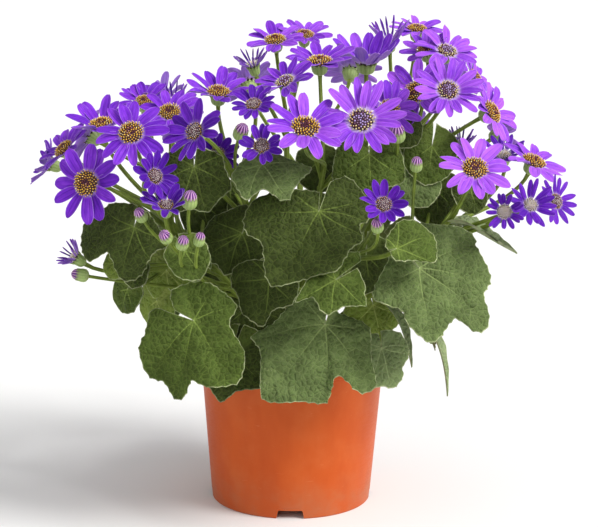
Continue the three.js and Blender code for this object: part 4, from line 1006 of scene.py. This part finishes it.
def main_veins(edge):
    """The angles of the main veins, which run to lobe tips and to the middles of wide spaces between them."""
    chosen = []
    ranked = sorted(range(1, len(edge) - 1), key=lambda i: -edge[i][1])

    def is_free(i, degrees):
        return all(abs(edge[i][0] - edge[k][0]) > degrees for k in chosen)

    for i in ranked:
        if edge[i][1] >= max(edge[i - 1][1], edge[i + 1][1]) and is_free(i, 17):
            chosen.append(i)
    for i in ranked:
        if is_free(i, 33) and abs(edge[i][0]) < 140:
            chosen.append(i)
    return np.array([edge[i][0] * RAD for i in chosen])


def add_blade(patch, leaf, rings, columns, kind=0):
    """One lobed blade: columns from the junction to the edge, with veins sunk and the rest puckered."""
    normal = direction(leaf.facing, leaf.tilt)
    down = unit(-UP + normal * normal[2])
    midrib = down * math.cos(leaf.turn * RAD) + np.cross(normal, down) * math.sin(leaf.turn * RAD)
    across = np.cross(normal, midrib)

    phase = FULL_TURN * draws(leaf.seed)()
    size = max(reach for _, reach in leaf.edge)
    rim = toothed(smooth_outline(leaf.edge, columns), leaf.seed)
    share = (np.arange(rings + 1) / rings)[:, None] ** 0.85
    reach = np.hypot(rim[:, 0], rim[:, 1])[None] * share
    rim_angle = np.arctan2(rim[:, 1], rim[:, 0])
    angle = rim_angle[None] + 0.1 * np.sin(2 * rim_angle + phase) * (share**2 - share)

    veins = main_veins(leaf.edge)
    bent = 0.07 * np.sin(3.5 * share[..., None] + 2.4 * np.arange(len(veins)))
    nearest = np.abs(rim_angle[None, :, None] - veins - bent).min(-1)
    from_vein = reach * np.sin(np.minimum(nearest, math.pi / 2))
    along_vein = reach * np.cos(nearest)
    sinus = np.minimum(np.abs(rim_angle - rim_angle[0]), np.abs(rim_angle - rim_angle[-1]))
    from_rim = np.minimum((1 - share) * reach[-1:], reach * np.sin(np.minimum(sinus, 1.5)) + 0.15)

    part = reach / size
    height = size * part**2 * (-leaf.droop + 0.05 * np.sin(3 * angle + phase) + 0.03 * np.sin(5 * angle))
    pucker = 1.9 * (1 - np.exp(-from_vein / 4)) * smooth(reach, 0, 12)
    rungs = np.cos(FULL_TURN * (along_vein - 0.7 * from_vein) / VEIN_RUNG)
    pucker += 0.4 * rungs * smooth(from_vein, 0.5, 4)
    pucker += 1.2 * np.sin(5 * angle + 2 * phase) * smooth(share, 0.3, 1)
    pucker += 0.5 * np.sin(11 * angle + 3 * phase) * smooth(share, 0.6, 1)
    pucker -= 0.7 * (1 - smooth(from_rim, 0, 2.5)) * smooth(reach, 3, 10)
    ridge = 0.7 * np.exp(-((from_vein / 0.8) ** 2)) * (1 - 0.8 * share) * smooth(reach, 0, 3)
    x, y, half = reach * np.cos(angle), reach * np.sin(angle), BLADE_THICKNESS / 2
    flat = np.array(leaf.at, float) + midrib * x[..., None] + across * y[..., None]
    top = flat + normal * (height + pucker * size / 50 + half)[..., None]
    under = flat + normal * (height + pucker * size / 50 - half - ridge)[..., None]
    patch.add_slab(top, under, stacked(from_vein, along_vein, from_rim), stacked(x, y, 0), kind)
    add_hairs(patch, top[-1] - normal * half, unit(top[-1] - top[-2]), normal, leaf.seed, kind)


def add_hairs(patch, feet, outward, normal, seed, kind):
    """A fringe of fine pale hairs: two thin needles between each two points of a rim."""
    random = np.random.default_rng(seed)
    count = 2 * (len(feet) - 1)
    spot = np.repeat(np.arange(len(feet) - 1), 2)
    between = random.random((count, 1))
    foot = feet[spot] * (1 - between) + feet[spot + 1] * between
    lean = outward[spot] + 0.5 * normal * random.normal(size=(count, 1))
    lean = unit(lean + 0.35 * random.normal(size=(count, 3)))
    sideways = unit(np.cross(lean, normal + 0.01))
    third = np.cross(lean, sideways)
    reach = HAIR_LENGTH * random.uniform(0.5, 1.1, (count, 1))
    around = [sideways * math.cos(a) + third * math.sin(a) for a in HAIR_CORNERS]
    base = [foot - 0.2 * lean + HAIR_HALF_WIDTH * outwards for outwards in around]
    points = np.stack([*base, foot + lean * reach], 1)
    needle = np.array([(0, 1, 3), (1, 2, 3), (2, 0, 3), (0, 2, 1)])
    faces = np.vstack([4 * np.arange(count)[:, None] + corners for corners in needle])
    patch.add(points, [faces], (9, 9, 0), (0, 0, 0.5), kind)


def add_narrow_blade(patch, foot, facing, tilt, length, half_width, seed, kind):
    """A stalkless lance-shaped leaf, folded a little along its midrib, with a few coarse teeth."""
    along = direction(facing, tilt)
    side = unit(np.cross(UP, along))
    up = unit(np.cross(along, side))
    u = np.linspace(0, 1, 25)[:, None]
    v = np.array([-1, -0.8, -0.5, -0.2, 0, 0.2, 0.5, 0.8, 1])[None]
    width = length * half_width * (0.2 * (1 - u) + np.sin(math.pi * u**0.85) ** 0.8)
    tooth = np.abs(np.mod(u * 6 + 0.3 * seed, 1) - 0.5) * 2
    width = width * (1 - 0.22 * tooth * smooth(u, 0.15, 0.3))
    height = length * (0.16 * u - 0.28 * u**2 + 0.03 * np.sin(5 * u + seed)) + 0.35 * np.abs(v) * width
    sideways = v * width + length * 0.04 * np.sin(3 * u + seed)
    middle = foot + along * (length * u)[..., None] + side * sideways[..., None] + up * height[..., None]
    from_vein = np.abs(v) * width
    place = stacked(from_vein, length * u, (1 - np.abs(v)) * width + 0.1)
    look = stacked(length * u, v * width, 0)
    ridge = 0.6 * np.exp(-((from_vein / 0.7) ** 2))[..., None] * up
    half = up * BLADE_THICKNESS / 2
    patch.add_slab(middle + half, middle - half - ridge, place, look, kind)


def make_leaves():
    for number, leaf in enumerate(LARGE_LEAVES, 1):
        node = f"leaf_{number:02}"
        patch = Patch()
        add_blade(patch, leaf, *LARGE_GRID)
        piece(node + "_blade", patch, [LEAF_LOOKS[leaf.tone]], node)


def make_stem_leaves():
    """The smaller leaves, which the model keeps in one piece with the stems."""
    order = list(LEAF_LOOKS)
    patch = Patch()
    for at, facing, tilt, turn, size, seed, branch, share, tone in SMALL_LEAVES:
        leaf = Leaf(at, facing, tilt, turn, SMALL_LEAF_DROOP, seed, branch, share, tone, small_edge(size))
        add_blade(patch, leaf, *SMALL_GRID, order.index(tone))
    for seed, (branch, share, facing, tilt, length, half_width, tone) in enumerate(NARROW_LEAVES):
        foot = points_at(branch, share)
        add_narrow_blade(patch, foot, facing, tilt, length, half_width, seed, order.index(tone))
    piece("stem_leaves", patch, list(LEAF_LOOKS.values()), "stems")


# ------------------------------------------------------------------ heads

BRACTS = 13
PETAL_THICKNESS = 0.3
PETAL_ACROSS = np.array([-1, -0.82, -0.6, -0.4, -0.14, 0.14, 0.4, 0.6, 0.82, 1])
PETAL_ALONG = np.array([0, 0.09, 0.2, 0.34, 0.48, 0.62, 0.74, 0.83, 0.9, 0.945, 0.975, 0.992, 1])[:, None]
PETAL_TIP = 0.67
PETAL_START = 0.78
PETAL_CROWDING = 1.95
# Widest half of a petal to the head's radius, how far it is rolled about its length and how much that varies.
PETAL_STYLES = {"open": (0.162, 0.3, 0.25), "narrow": (0.12, -0.7, 0.15), "quilled": (0.07, 2.1, 0.15)}
# The disc's size, how many florets it has, and the share of its radius outside which they are open.
DISCS = {
    "golden": (1.16, 96, 0.45),
    "ringed": (1.0, 72, 0.66),
    "pale": (0.98, 80, 0.8),
    "grey": (0.98, 80, 0.76),
}
DISC_DOME = 0.3
DISC_SIDES = 20
FLORET_SIDES = 5
HEADS_SEED = 21

GOLD, AMBER, STRAW, CREAM = (0.92, 0.62, 0.07), (0.50, 0.20, 0.015), (0.66, 0.58, 0.34), (0.92, 0.82, 0.42)
PLUM, MAROON, LILAC, TAUPE = (0.035, 0.005, 0.025), (0.14, 0.02, 0.04), (0.50, 0.36, 0.72), (0.62, 0.52, 0.50)
PEARL = (0.94, 0.86, 0.80)


def head_frame(facing, tilt):
    axis = direction(facing, tilt)
    side = unit(np.cross(UP, axis))
    return Frame(axis, side, np.cross(axis, side))


def spoke(frame_here, angle):
    return frame_here.side * math.cos(angle) + frame_here.up * math.sin(angle)


def disc_radius(head):
    return max(DISC_SHARE * head.radius, DISC_LEAST)


def ray_lifts(head, seed, corners):
    """Angle and lift, in radians, of each ray of the model's head: the bend whose tip is a corner there."""
    random = draws(seed)
    spin = FULL_TURN * random()
    frame_here = head_frame(head.facing, head.tilt)
    disc = disc_radius(head)
    length = head.radius - disc
    half = RAY_THICKNESS / 2
    found = []
    for k in range(head.rays):
        angle = spin + FULL_TURN * k / head.rays
        wished = head.lift + RAY_UNEVENNESS * (random() - 0.5)
        tried = []
        for bend in RAY_BENDS:
            lift = (wished + bend) * RAD
            reach = disc + length * math.cos(lift) - half * math.sin(lift)
            rise = length * (math.sin(lift) - RAY_DIP) + half + half * math.cos(lift)
            tip = np.array(head.centre) + spoke(frame_here, angle) * reach + frame_here.axis * rise
            tried.append((np.linalg.norm(corners - tip, axis=1).min(), lift))
        found.append((angle, min(tried)[1]))
    return np.array(found)


def lift_at(angle, lifts):
    """The lift between the two nearest rays of the model."""
    angles = lifts[:, 0] % FULL_TURN
    order = np.argsort(angles)
    return np.interp(angle % FULL_TURN, angles[order], lifts[order, 1], period=FULL_TURN)


def add_petal(patch, head, angle, lift, random, layer):
    """One petal, with a notched tip, a curl along its length, a roll across it and a slight twist."""
    frame_here = head_frame(head.facing, head.tilt)
    widest, roll, unevenness = PETAL_STYLES[head.style]
    start = PETAL_START * disc_radius(head)
    length = (head.radius - start) * random.uniform(0.86, 1.05)
    half = min(widest, PETAL_CROWDING / head.petals) * head.radius * random.uniform(0.9, 1.1)
    u, v = PETAL_ALONG, PETAL_ACROSS

    curl = RAD * (random.uniform(5, 26) if lift < 35 * RAD else random.uniform(-26, 10))
    begin = lift + 0.55 * curl
    notch = random.choice([0, 0.02, 0.035]) * np.exp(-(((np.abs(v) - 0.3) / 0.16) ** 2)) * smooth(u, 0.85, 1)
    turned = begin - curl * (u - notch)
    out = length * (np.sin(begin) - np.sin(turned)) / curl
    rise = length * (np.cos(turned) - np.cos(begin)) / curl

    tip = np.sqrt(1 - (0.98 * np.clip((u - PETAL_TIP) / (1 - PETAL_TIP), 0, 1)) ** 1.7)
    width = half * (0.5 + 0.5 * smooth(u, -0.05, 0.42)) * (1 - 0.06 * smooth(u, 0.55, 1)) * tip
    rolled = roll + random.normal() * unevenness
    bowl = rolled * smooth(u, 0, 0.35) + (0 if abs(rolled) > 0.02 else 0.02)
    bowl = np.where(np.abs(bowl) < 0.02, 0.02, bowl)
    across = width * np.sin(bowl * v) / bowl
    raised = width * (1 - np.cos(bowl * v)) / bowl
    groove = 0.4 * np.exp(-(((np.abs(v) - 0.4) / 0.13) ** 2)) * smooth(u, 0, 0.2) * smooth(u, 1.05, 0.8)
    raised = raised - groove
    raised = raised + 0.02 * length * np.sin(random.uniform(5, 9) * u + random.uniform(0, 6)) * v
    twist = (random.uniform(-20, 20) + layer * 5) * RAD * u + 5 * RAD
    sideways = across * np.cos(twist) - raised * np.sin(twist) + length * random.uniform(-0.06, 0.06) * u**2
    raised = across * np.sin(twist) + raised * np.cos(twist)

    axis, outward = frame_here.axis, spoke(frame_here, angle)
    over = axis * np.cos(turned)[..., None] - outward * np.sin(turned)[..., None]
    middle = (
        np.array(head.centre)
        + outward * (start + out)[..., None]
        + axis * (rise + RAY_THICKNESS / 2 + 0.3 * layer)[..., None]
        + np.cross(axis, outward) * sideways[..., None]
        + over * raised[..., None]
    )
    thick = over * PETAL_THICKNESS / 2
    place = stacked(u, v, random.random())
    look = stacked(head.tone + 0 * u * v, random.random(), 0)
    patch.add_slab(middle + thick, middle - thick, place, look)


def floret_colours(kind, share, draw):
    """Colours of a floret's foot, lip and knob, by kind of disc, place from middle to rim and a draw."""
    if kind == "golden":
        if share > 0.42:
            return MAROON, AMBER, GOLD if draw > 0.2 else CREAM
        knob = GOLD if draw > 0.7 else LILAC if draw > 0.55 else MAROON
        return PLUM, MAROON if draw < 0.6 else AMBER, knob
    if kind == "ringed":
        if share > 0.66:
            return PLUM, STRAW if draw > 0.5 else AMBER, CREAM
        return PLUM, LILAC if draw > 0.4 else MAROON, LILAC
    if kind == "pale":
        return TAUPE, PEARL if draw > 0.3 else CREAM, PEARL
    if share > 0.76:
        return PLUM, MAROON, GOLD if draw < 0.75 else STRAW
    return PLUM, TAUPE if draw > 0.25 else MAROON, TAUPE


def add_floret(patch, foot, axis, side, up, size, height, opened, colours):
    """A floret: a closed bud of three rings, or an open one with a flared lip and its anthers above."""
    base, lip, knob = (np.array(c) for c in colours)
    if opened:
        rings = [(-0.6, 0.6), (0.45 * height, 0.55), (0.75 * height, 1.0), (0.7 * height, 0.45)]
        rings += [(height, 0.55), (1.3 * height, 0.62)]
        # The ring inside the flared lip is the lip darkened: painted shade in the floret's mouth.
        shades = [base, base, lip, 0.4 * lip, knob, knob]
        top = 1.5 * height
    else:
        rings = [(-0.6, 0.7), (0.45 * height, 0.95), (0.8 * height, 0.72)]
        shades = [base, 0.5 * (base + lip), lip]
        top = height
    heights, reach = np.array(rings).T[:, :, None, None]
    points = foot + axis * heights + size * reach * circle(FLORET_SIDES, side, up)
    count = FLORET_SIDES * len(rings)
    last = np.arange(FLORET_SIDES) + count - FLORET_SIDES
    faces = [
        grid_faces(len(rings), FLORET_SIDES, closed=True)[:, ::-1],
        np.stack([last, np.roll(last, -1), np.full(FLORET_SIDES, count)], -1),
        np.array([[0, 2, 1], [0, 3, 2], [0, 4, 3]]),
    ]
    look = np.vstack([np.repeat(shades, FLORET_SIDES, axis=0), [knob]])
    patch.add(np.vstack([points.reshape(-1, 3), [foot + axis * top]]), faces, look=look)


def add_disc(patch, head, random):
    """The raised middle of a head: a low dome covered with florets in the order of a seed head."""
    axis, side, up = frame_here = head_frame(head.facing, head.tilt)
    centre = np.array(head.centre)
    share, count, open_from = DISCS[head.disc]
    reach = disc_radius(head) * share
    dome = DISC_DOME * reach
    base = [(0.6, -0.9), (0.86, 0.3), (0.82, 0.55 * dome), (0.55, 0.86 * dome), (0.25, dome)]
    spokes = circle(DISC_SIDES, side, up)
    rings = np.stack([centre + axis * (h + RAY_THICKNESS / 2) + r * reach * spokes for r, h in base])
    patch.add_body(rings, centre - axis * 0.9, centre + axis * (dome + RAY_THICKNESS / 2), look=PLUM)
    spin = random.uniform(0, 6)
    for n in range(count):
        part = math.sqrt((n + 0.6) / count)
        outward = spoke(frame_here, spin + n * GOLDEN_ANGLE)
        lean = unit(axis + 0.55 * part**2 * outward)
        aside = np.cross(lean, outward)
        height = dome * (1 - part**2) ** 0.6 * 0.9 + 0.35 * (1 - part)
        foot = centre + axis * (RAY_THICKNESS / 2 + height - 0.1) + outward * reach * 0.93 * part
        size = 0.72 * reach / math.sqrt(count) * random.uniform(0.8, 1.1)
        colours = floret_colours(head.disc, part, random.random())
        opened = part > open_from
        tall = (1.2 if opened else 0.9) * random.uniform(0.75, 1.25) * reach / 7
        add_floret(patch, foot, lean, unit(np.cross(aside, lean)), aside, size, tall, opened, colours)


def make_heads():
    random = np.random.default_rng(HEADS_SEED)
    petals, florets = petal_skin(), floret_skin()
    for number in range(1, HEADS[-1].bloom + 1):
        node = f"bloom_{number:02}"
        corners = np.array([vertex.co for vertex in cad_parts[node].data.vertices]) / MM
        rays, discs = Patch(), Patch()
        for j, head in enumerate(head for head in HEADS if head.bloom == number):
            lifts = ray_lifts(head, 3 * (number - 1) + j, corners)
            for k in range(head.petals):
                angle = lifts[0, 0] + FULL_TURN * (k + random.uniform(-0.3, 0.3)) / head.petals
                layer = (-1) ** k if k < head.petals - 1 or head.petals % 2 == 0 else 0
                lift = lift_at(angle, lifts) + random.uniform(-8, 8) * RAD
                add_petal(rays, head, angle, lift, random, layer)
            add_disc(discs, head, random)
        piece(node + "_petals", rays, [petals], node, sharp=70)
        piece(node + "_disc", discs, [florets], node, sharp=60)


# ------------------------------------------------------------------ stems, cups and buds

CROWN_RINGS = 12
BRANCH_RINGS = 28
SCALE_FLUTES = 0.015
BUD_FOLDS = 11
FOLD_DEPTH = 0.08
CUP_FOOT = (-0.6, 1.1, 0)
# Profiles from foot to top: height, radius and how far the flutes show. The heights of a cup are in
# millimetres and its radii are shares of its own; both are shares of the length in a bud.
CUP_PROFILE = [
    (0.3, 0.5, 0.3), (1.2, 0.74, 0.7), (2.6, 0.87, 1), (4.6, 0.93, 1), (6.6, 0.97, 1),
    (CUP_HEIGHT - 0.4, 1, 1), (CUP_HEIGHT, 0.9, 0.3),
]
BUD_GREEN = [
    (-0.05, 0.09, 0), (0.02, 0.24, 0.4), (0.09, 0.33, 0.8), (0.2, 0.385, 1), (0.35, 0.40, 1),
    (0.48, 0.385, 1), (0.58, 0.35, 1), (0.6, 0.2, 0.2),
]
BUD_VIOLET = [
    (0.45, 0.3, 0), (0.58, 0.34, 0.5), (0.72, 0.32, 1), (0.86, 0.26, 1), (0.96, 0.17, 1), (1.02, 0.06, 0.5),
]


def add_turned(patch, foot, frame_here, profile, segments, flutes, depth, kind=0):
    """A closed fluted body round an axis, with a profile of (height, radius, how far the flutes show)."""
    axis, side, up = frame_here
    turn = turns(segments)
    height, radius, fluted = np.array(profile, float).T[:, :, None, None]
    wave = np.cos(flutes * turn)[None, :, None]
    rings = foot + axis * height + circle(segments, side, up) * radius * (1 + depth * fluted * wave)
    low, high = height[0, 0, 0], height[-1, 0, 0]
    look = stacked(turn / FULL_TURN, (height[..., 0] - low) / (high - low), 0.5)
    patch.add_body(rings, foot + axis * low, foot + axis * high, look=look, kind=kind)


def add_bract_tips(patch, foot, frame_here, radius, height, lean):
    """The free tips of a cup's scales: small three-cornered blades that stand on its rim."""
    axis = frame_here.axis
    half = 0.8 * math.pi * radius / BRACTS
    faces = [np.array([[0, 1, 2], [3, 5, 4]]), np.array([[0, 3, 4, 1], [1, 4, 5, 2], [2, 5, 3, 0]])]
    for k in range(BRACTS):
        outward = spoke(frame_here, FULL_TURN * k / BRACTS)
        aside = np.cross(axis, outward)
        low = foot + axis * (height - 1.0) + outward * (radius - 0.1)
        tip = foot + axis * (height + 1.6) + outward * (radius + lean)
        points = np.array([low - aside * half, low + aside * half, tip])
        thick = outward * 0.35
        patch.add([points + thick, points - thick], faces, look=(k / BRACTS, 0.9, 0.5))


def make_stems():
    green, bracts = stem_skin(), bract_skin()
    branches, stalks, cups, buds = Patch(), Patch(), Patch(), Patch()
    crown = np.array([(0, 0, z) for z in np.linspace(CROWN_BOTTOM, CROWN_TOP, CROWN_RINGS)])
    swell = CROWN_RADIUS * (0.93 + 0.07 * np.cos(np.linspace(-2.5, 9, CROWN_RINGS)))
    swell[-1] *= 0.6
    add_tube(branches, crown, swell, sides=28, ribs=9, rib=0.03)
    steps = np.linspace(0, 1, BRANCH_RINGS)
    for branch, (_, radius) in BRANCHES.items():
        knots = 1 + 0.05 * np.sin(23 * steps)
        add_tube(branches, points_at(branch, steps), radius * (1.0 - 0.34 * steps) * knots, sides=18, ribs=6)

    leaving = {branch: itertools.count() for branch in BRANCHES}

    def flower_stalk(branch, foot, heading):
        """The next stalk of a branch: the first leaves its end, and each other a little further back."""
        return stalk_path(branch, 1 - STALK_SPACING * next(leaving[branch]), foot, heading)

    for head in HEADS:
        frame_here = head_frame(head.facing, head.tilt)
        foot = np.array(head.centre) - frame_here.axis * (CUP_HEIGHT + GAP)
        path = flower_stalk(head.branch, foot, frame_here.axis)
        taper = np.linspace(1.25, 1, len(path))
        taper[-1] = 1.25
        add_tube(stalks, path, 0.88 * FLOWER_STALK_RADIUS * taper)
        cup = CUP_SHARE * disc_radius(head)
        profile = [CUP_FOOT, *np.multiply(CUP_PROFILE, (1, cup, 1))]
        add_turned(cups, foot, frame_here, profile, 4 * BRACTS, BRACTS, SCALE_FLUTES)
        add_bract_tips(cups, foot, frame_here, cup, CUP_HEIGHT - 0.6, 0.7)

    for at, facing, tilt, length, branch in BUDS:
        foot, frame_here = np.array(at, float), head_frame(facing, tilt)
        add_tube(stalks, flower_stalk(branch, foot, frame_here.axis), 0.9 * BUD_STALK_RADIUS)
        scale = (length, length, 1)
        add_turned(buds, foot, frame_here, np.multiply(BUD_GREEN, scale), 4 * BRACTS, BRACTS, SCALE_FLUTES)
        violet = np.multiply(BUD_VIOLET, scale)
        add_turned(buds, foot, frame_here, violet, 4 * BUD_FOLDS, BUD_FOLDS, FOLD_DEPTH, kind=1)
        add_bract_tips(buds, foot, frame_here, 0.35 * length, 0.58 * length, -0.2)

    for leaf in LARGE_LEAVES:
        normal = direction(leaf.facing, leaf.tilt)
        path = stalk_path(leaf.branch, leaf.share, np.array(leaf.at) - normal * GAP, normal, 18)
        add_tube(stalks, path, LEAF_STALK_RADIUS * np.linspace(0.95, 0.8, len(path)), 12, 3, 0.1, normal)
    for at, facing, tilt, _, _, _, branch, share, _ in SMALL_LEAVES:
        normal = direction(facing, tilt)
        path = stalk_path(branch, share, np.array(at, float), normal)
        add_tube(stalks, path, SMALL_STALK_RADIUS * np.linspace(0.95, 0.8, len(path)), 10, 3, 0.1, normal)

    for name, patch, looks in (
        ("crown_and_branches", branches, [green]),
        ("stalks", stalks, [green]),
        ("flower_cups", cups, [bracts]),
        ("flower_buds", buds, [bracts, bud_tip_skin()]),
    ):
        piece(name, patch, looks, "stems", sharp=60)


# ------------------------------------------------------------------ camera, floor and light

CAMERA_PLACE = (0.004626, -1.25, 0.42169)
CAMERA_PITCH = -11.5755
CAMERA_ROLL = 0.673
CAMERA_LENS = 111.1
FLOOR_REACH = 20
SKY_STRENGTH = 0.5


def make_camera():
    camera = placed("camera", bpy.data.cameras.new("camera"))
    camera.data.lens = CAMERA_LENS
    camera.data.sensor_width = 36
    camera.data.clip_end = 60
    turn = Matrix.Rotation((90 + CAMERA_PITCH) * RAD, 4, "X") @ Matrix.Rotation(CAMERA_ROLL * RAD, 4, "Z")
    camera.matrix_world = Matrix.Translation(CAMERA_PLACE) @ turn
    bpy.context.scene.camera = camera


def make_floor():
    mesh = bpy.data.meshes.new("floor")
    corners = [(x * FLOOR_REACH, y * FLOOR_REACH, 0) for x, y in ((-1, -1), (1, -1), (1, 1), (-1, 1))]
    mesh.from_pydata(corners, [], [(0, 1, 2, 3)])
    nodes = Nodes("pale floor", Base_Color=(0.86, 0.86, 0.86), Roughness=0.7, Specular_IOR_Level=0.3)
    mesh.materials.append(nodes.material)
    placed("floor", mesh)


def sun(name, facing, height, strength, softness, colour):
    """A soft sun that stands `facing` degrees round from -Y towards +X and `height` degrees up."""
    light = bpy.data.lights.new(name, "SUN")
    light.energy = strength
    light.angle = softness * RAD
    light.color = colour
    lamp = placed(name, light)
    lamp.rotation_euler = Vector(direction(facing, height)).to_track_quat("Z", "Y").to_euler()


def make_light():
    sun("key", 64, 42, 3.5, 28, (1.0, 0.99, 0.97))
    sun("fill", -25, 35, 0.45, 60, (1.0, 1.0, 1.0))
    world = bpy.data.worlds.new("pale")
    world.use_nodes = True
    sky = world.node_tree.nodes["Background"].inputs
    sky[0].default_value = (1.0, 1.0, 1.0, 1)
    sky[1].default_value = SKY_STRENGTH
    bpy.context.scene.world = world
    bpy.context.scene.view_settings.view_transform = "Standard"


# ------------------------------------------------------------------ the whole scene

# Face, vein and back of the leaves, by tone: partly their own greens, partly painted light and shade.
LEAF_LOOKS = {
    # Lighter tones stand for leaves that catch the light and darker ones for leaves that lie in shade.
    "frost_and_light": leaf_skin("frost_and_light", (0.165, 0.220, 0.088), (0.36, 0.44, 0.20), (0.24, 0.29, 0.13)),
    # The first tone is a frosted grey, made paler still as painted light on a leaf that lies in shade.
    "grey": leaf_skin("grey", (0.102, 0.145, 0.045), (0.28, 0.36, 0.13), (0.19, 0.24, 0.10)),
    "dark": leaf_skin("dark", (0.037, 0.054, 0.009), (0.16, 0.22, 0.045), (0.13, 0.17, 0.05)),
    "mid": leaf_skin("mid", (0.058, 0.090, 0.013), (0.21, 0.29, 0.06), (0.16, 0.21, 0.07)),
    "light": leaf_skin("light", (0.16, 0.225, 0.035), (0.40, 0.47, 0.13), (0.25, 0.32, 0.10)),
    "pale": leaf_skin("pale", (0.22, 0.28, 0.13), (0.44, 0.50, 0.28), (0.36, 0.41, 0.24)),
}

make_camera()
make_floor()
make_light()
make_pot()
make_soil()
make_stems()
make_leaves()
make_stem_leaves()
make_heads()
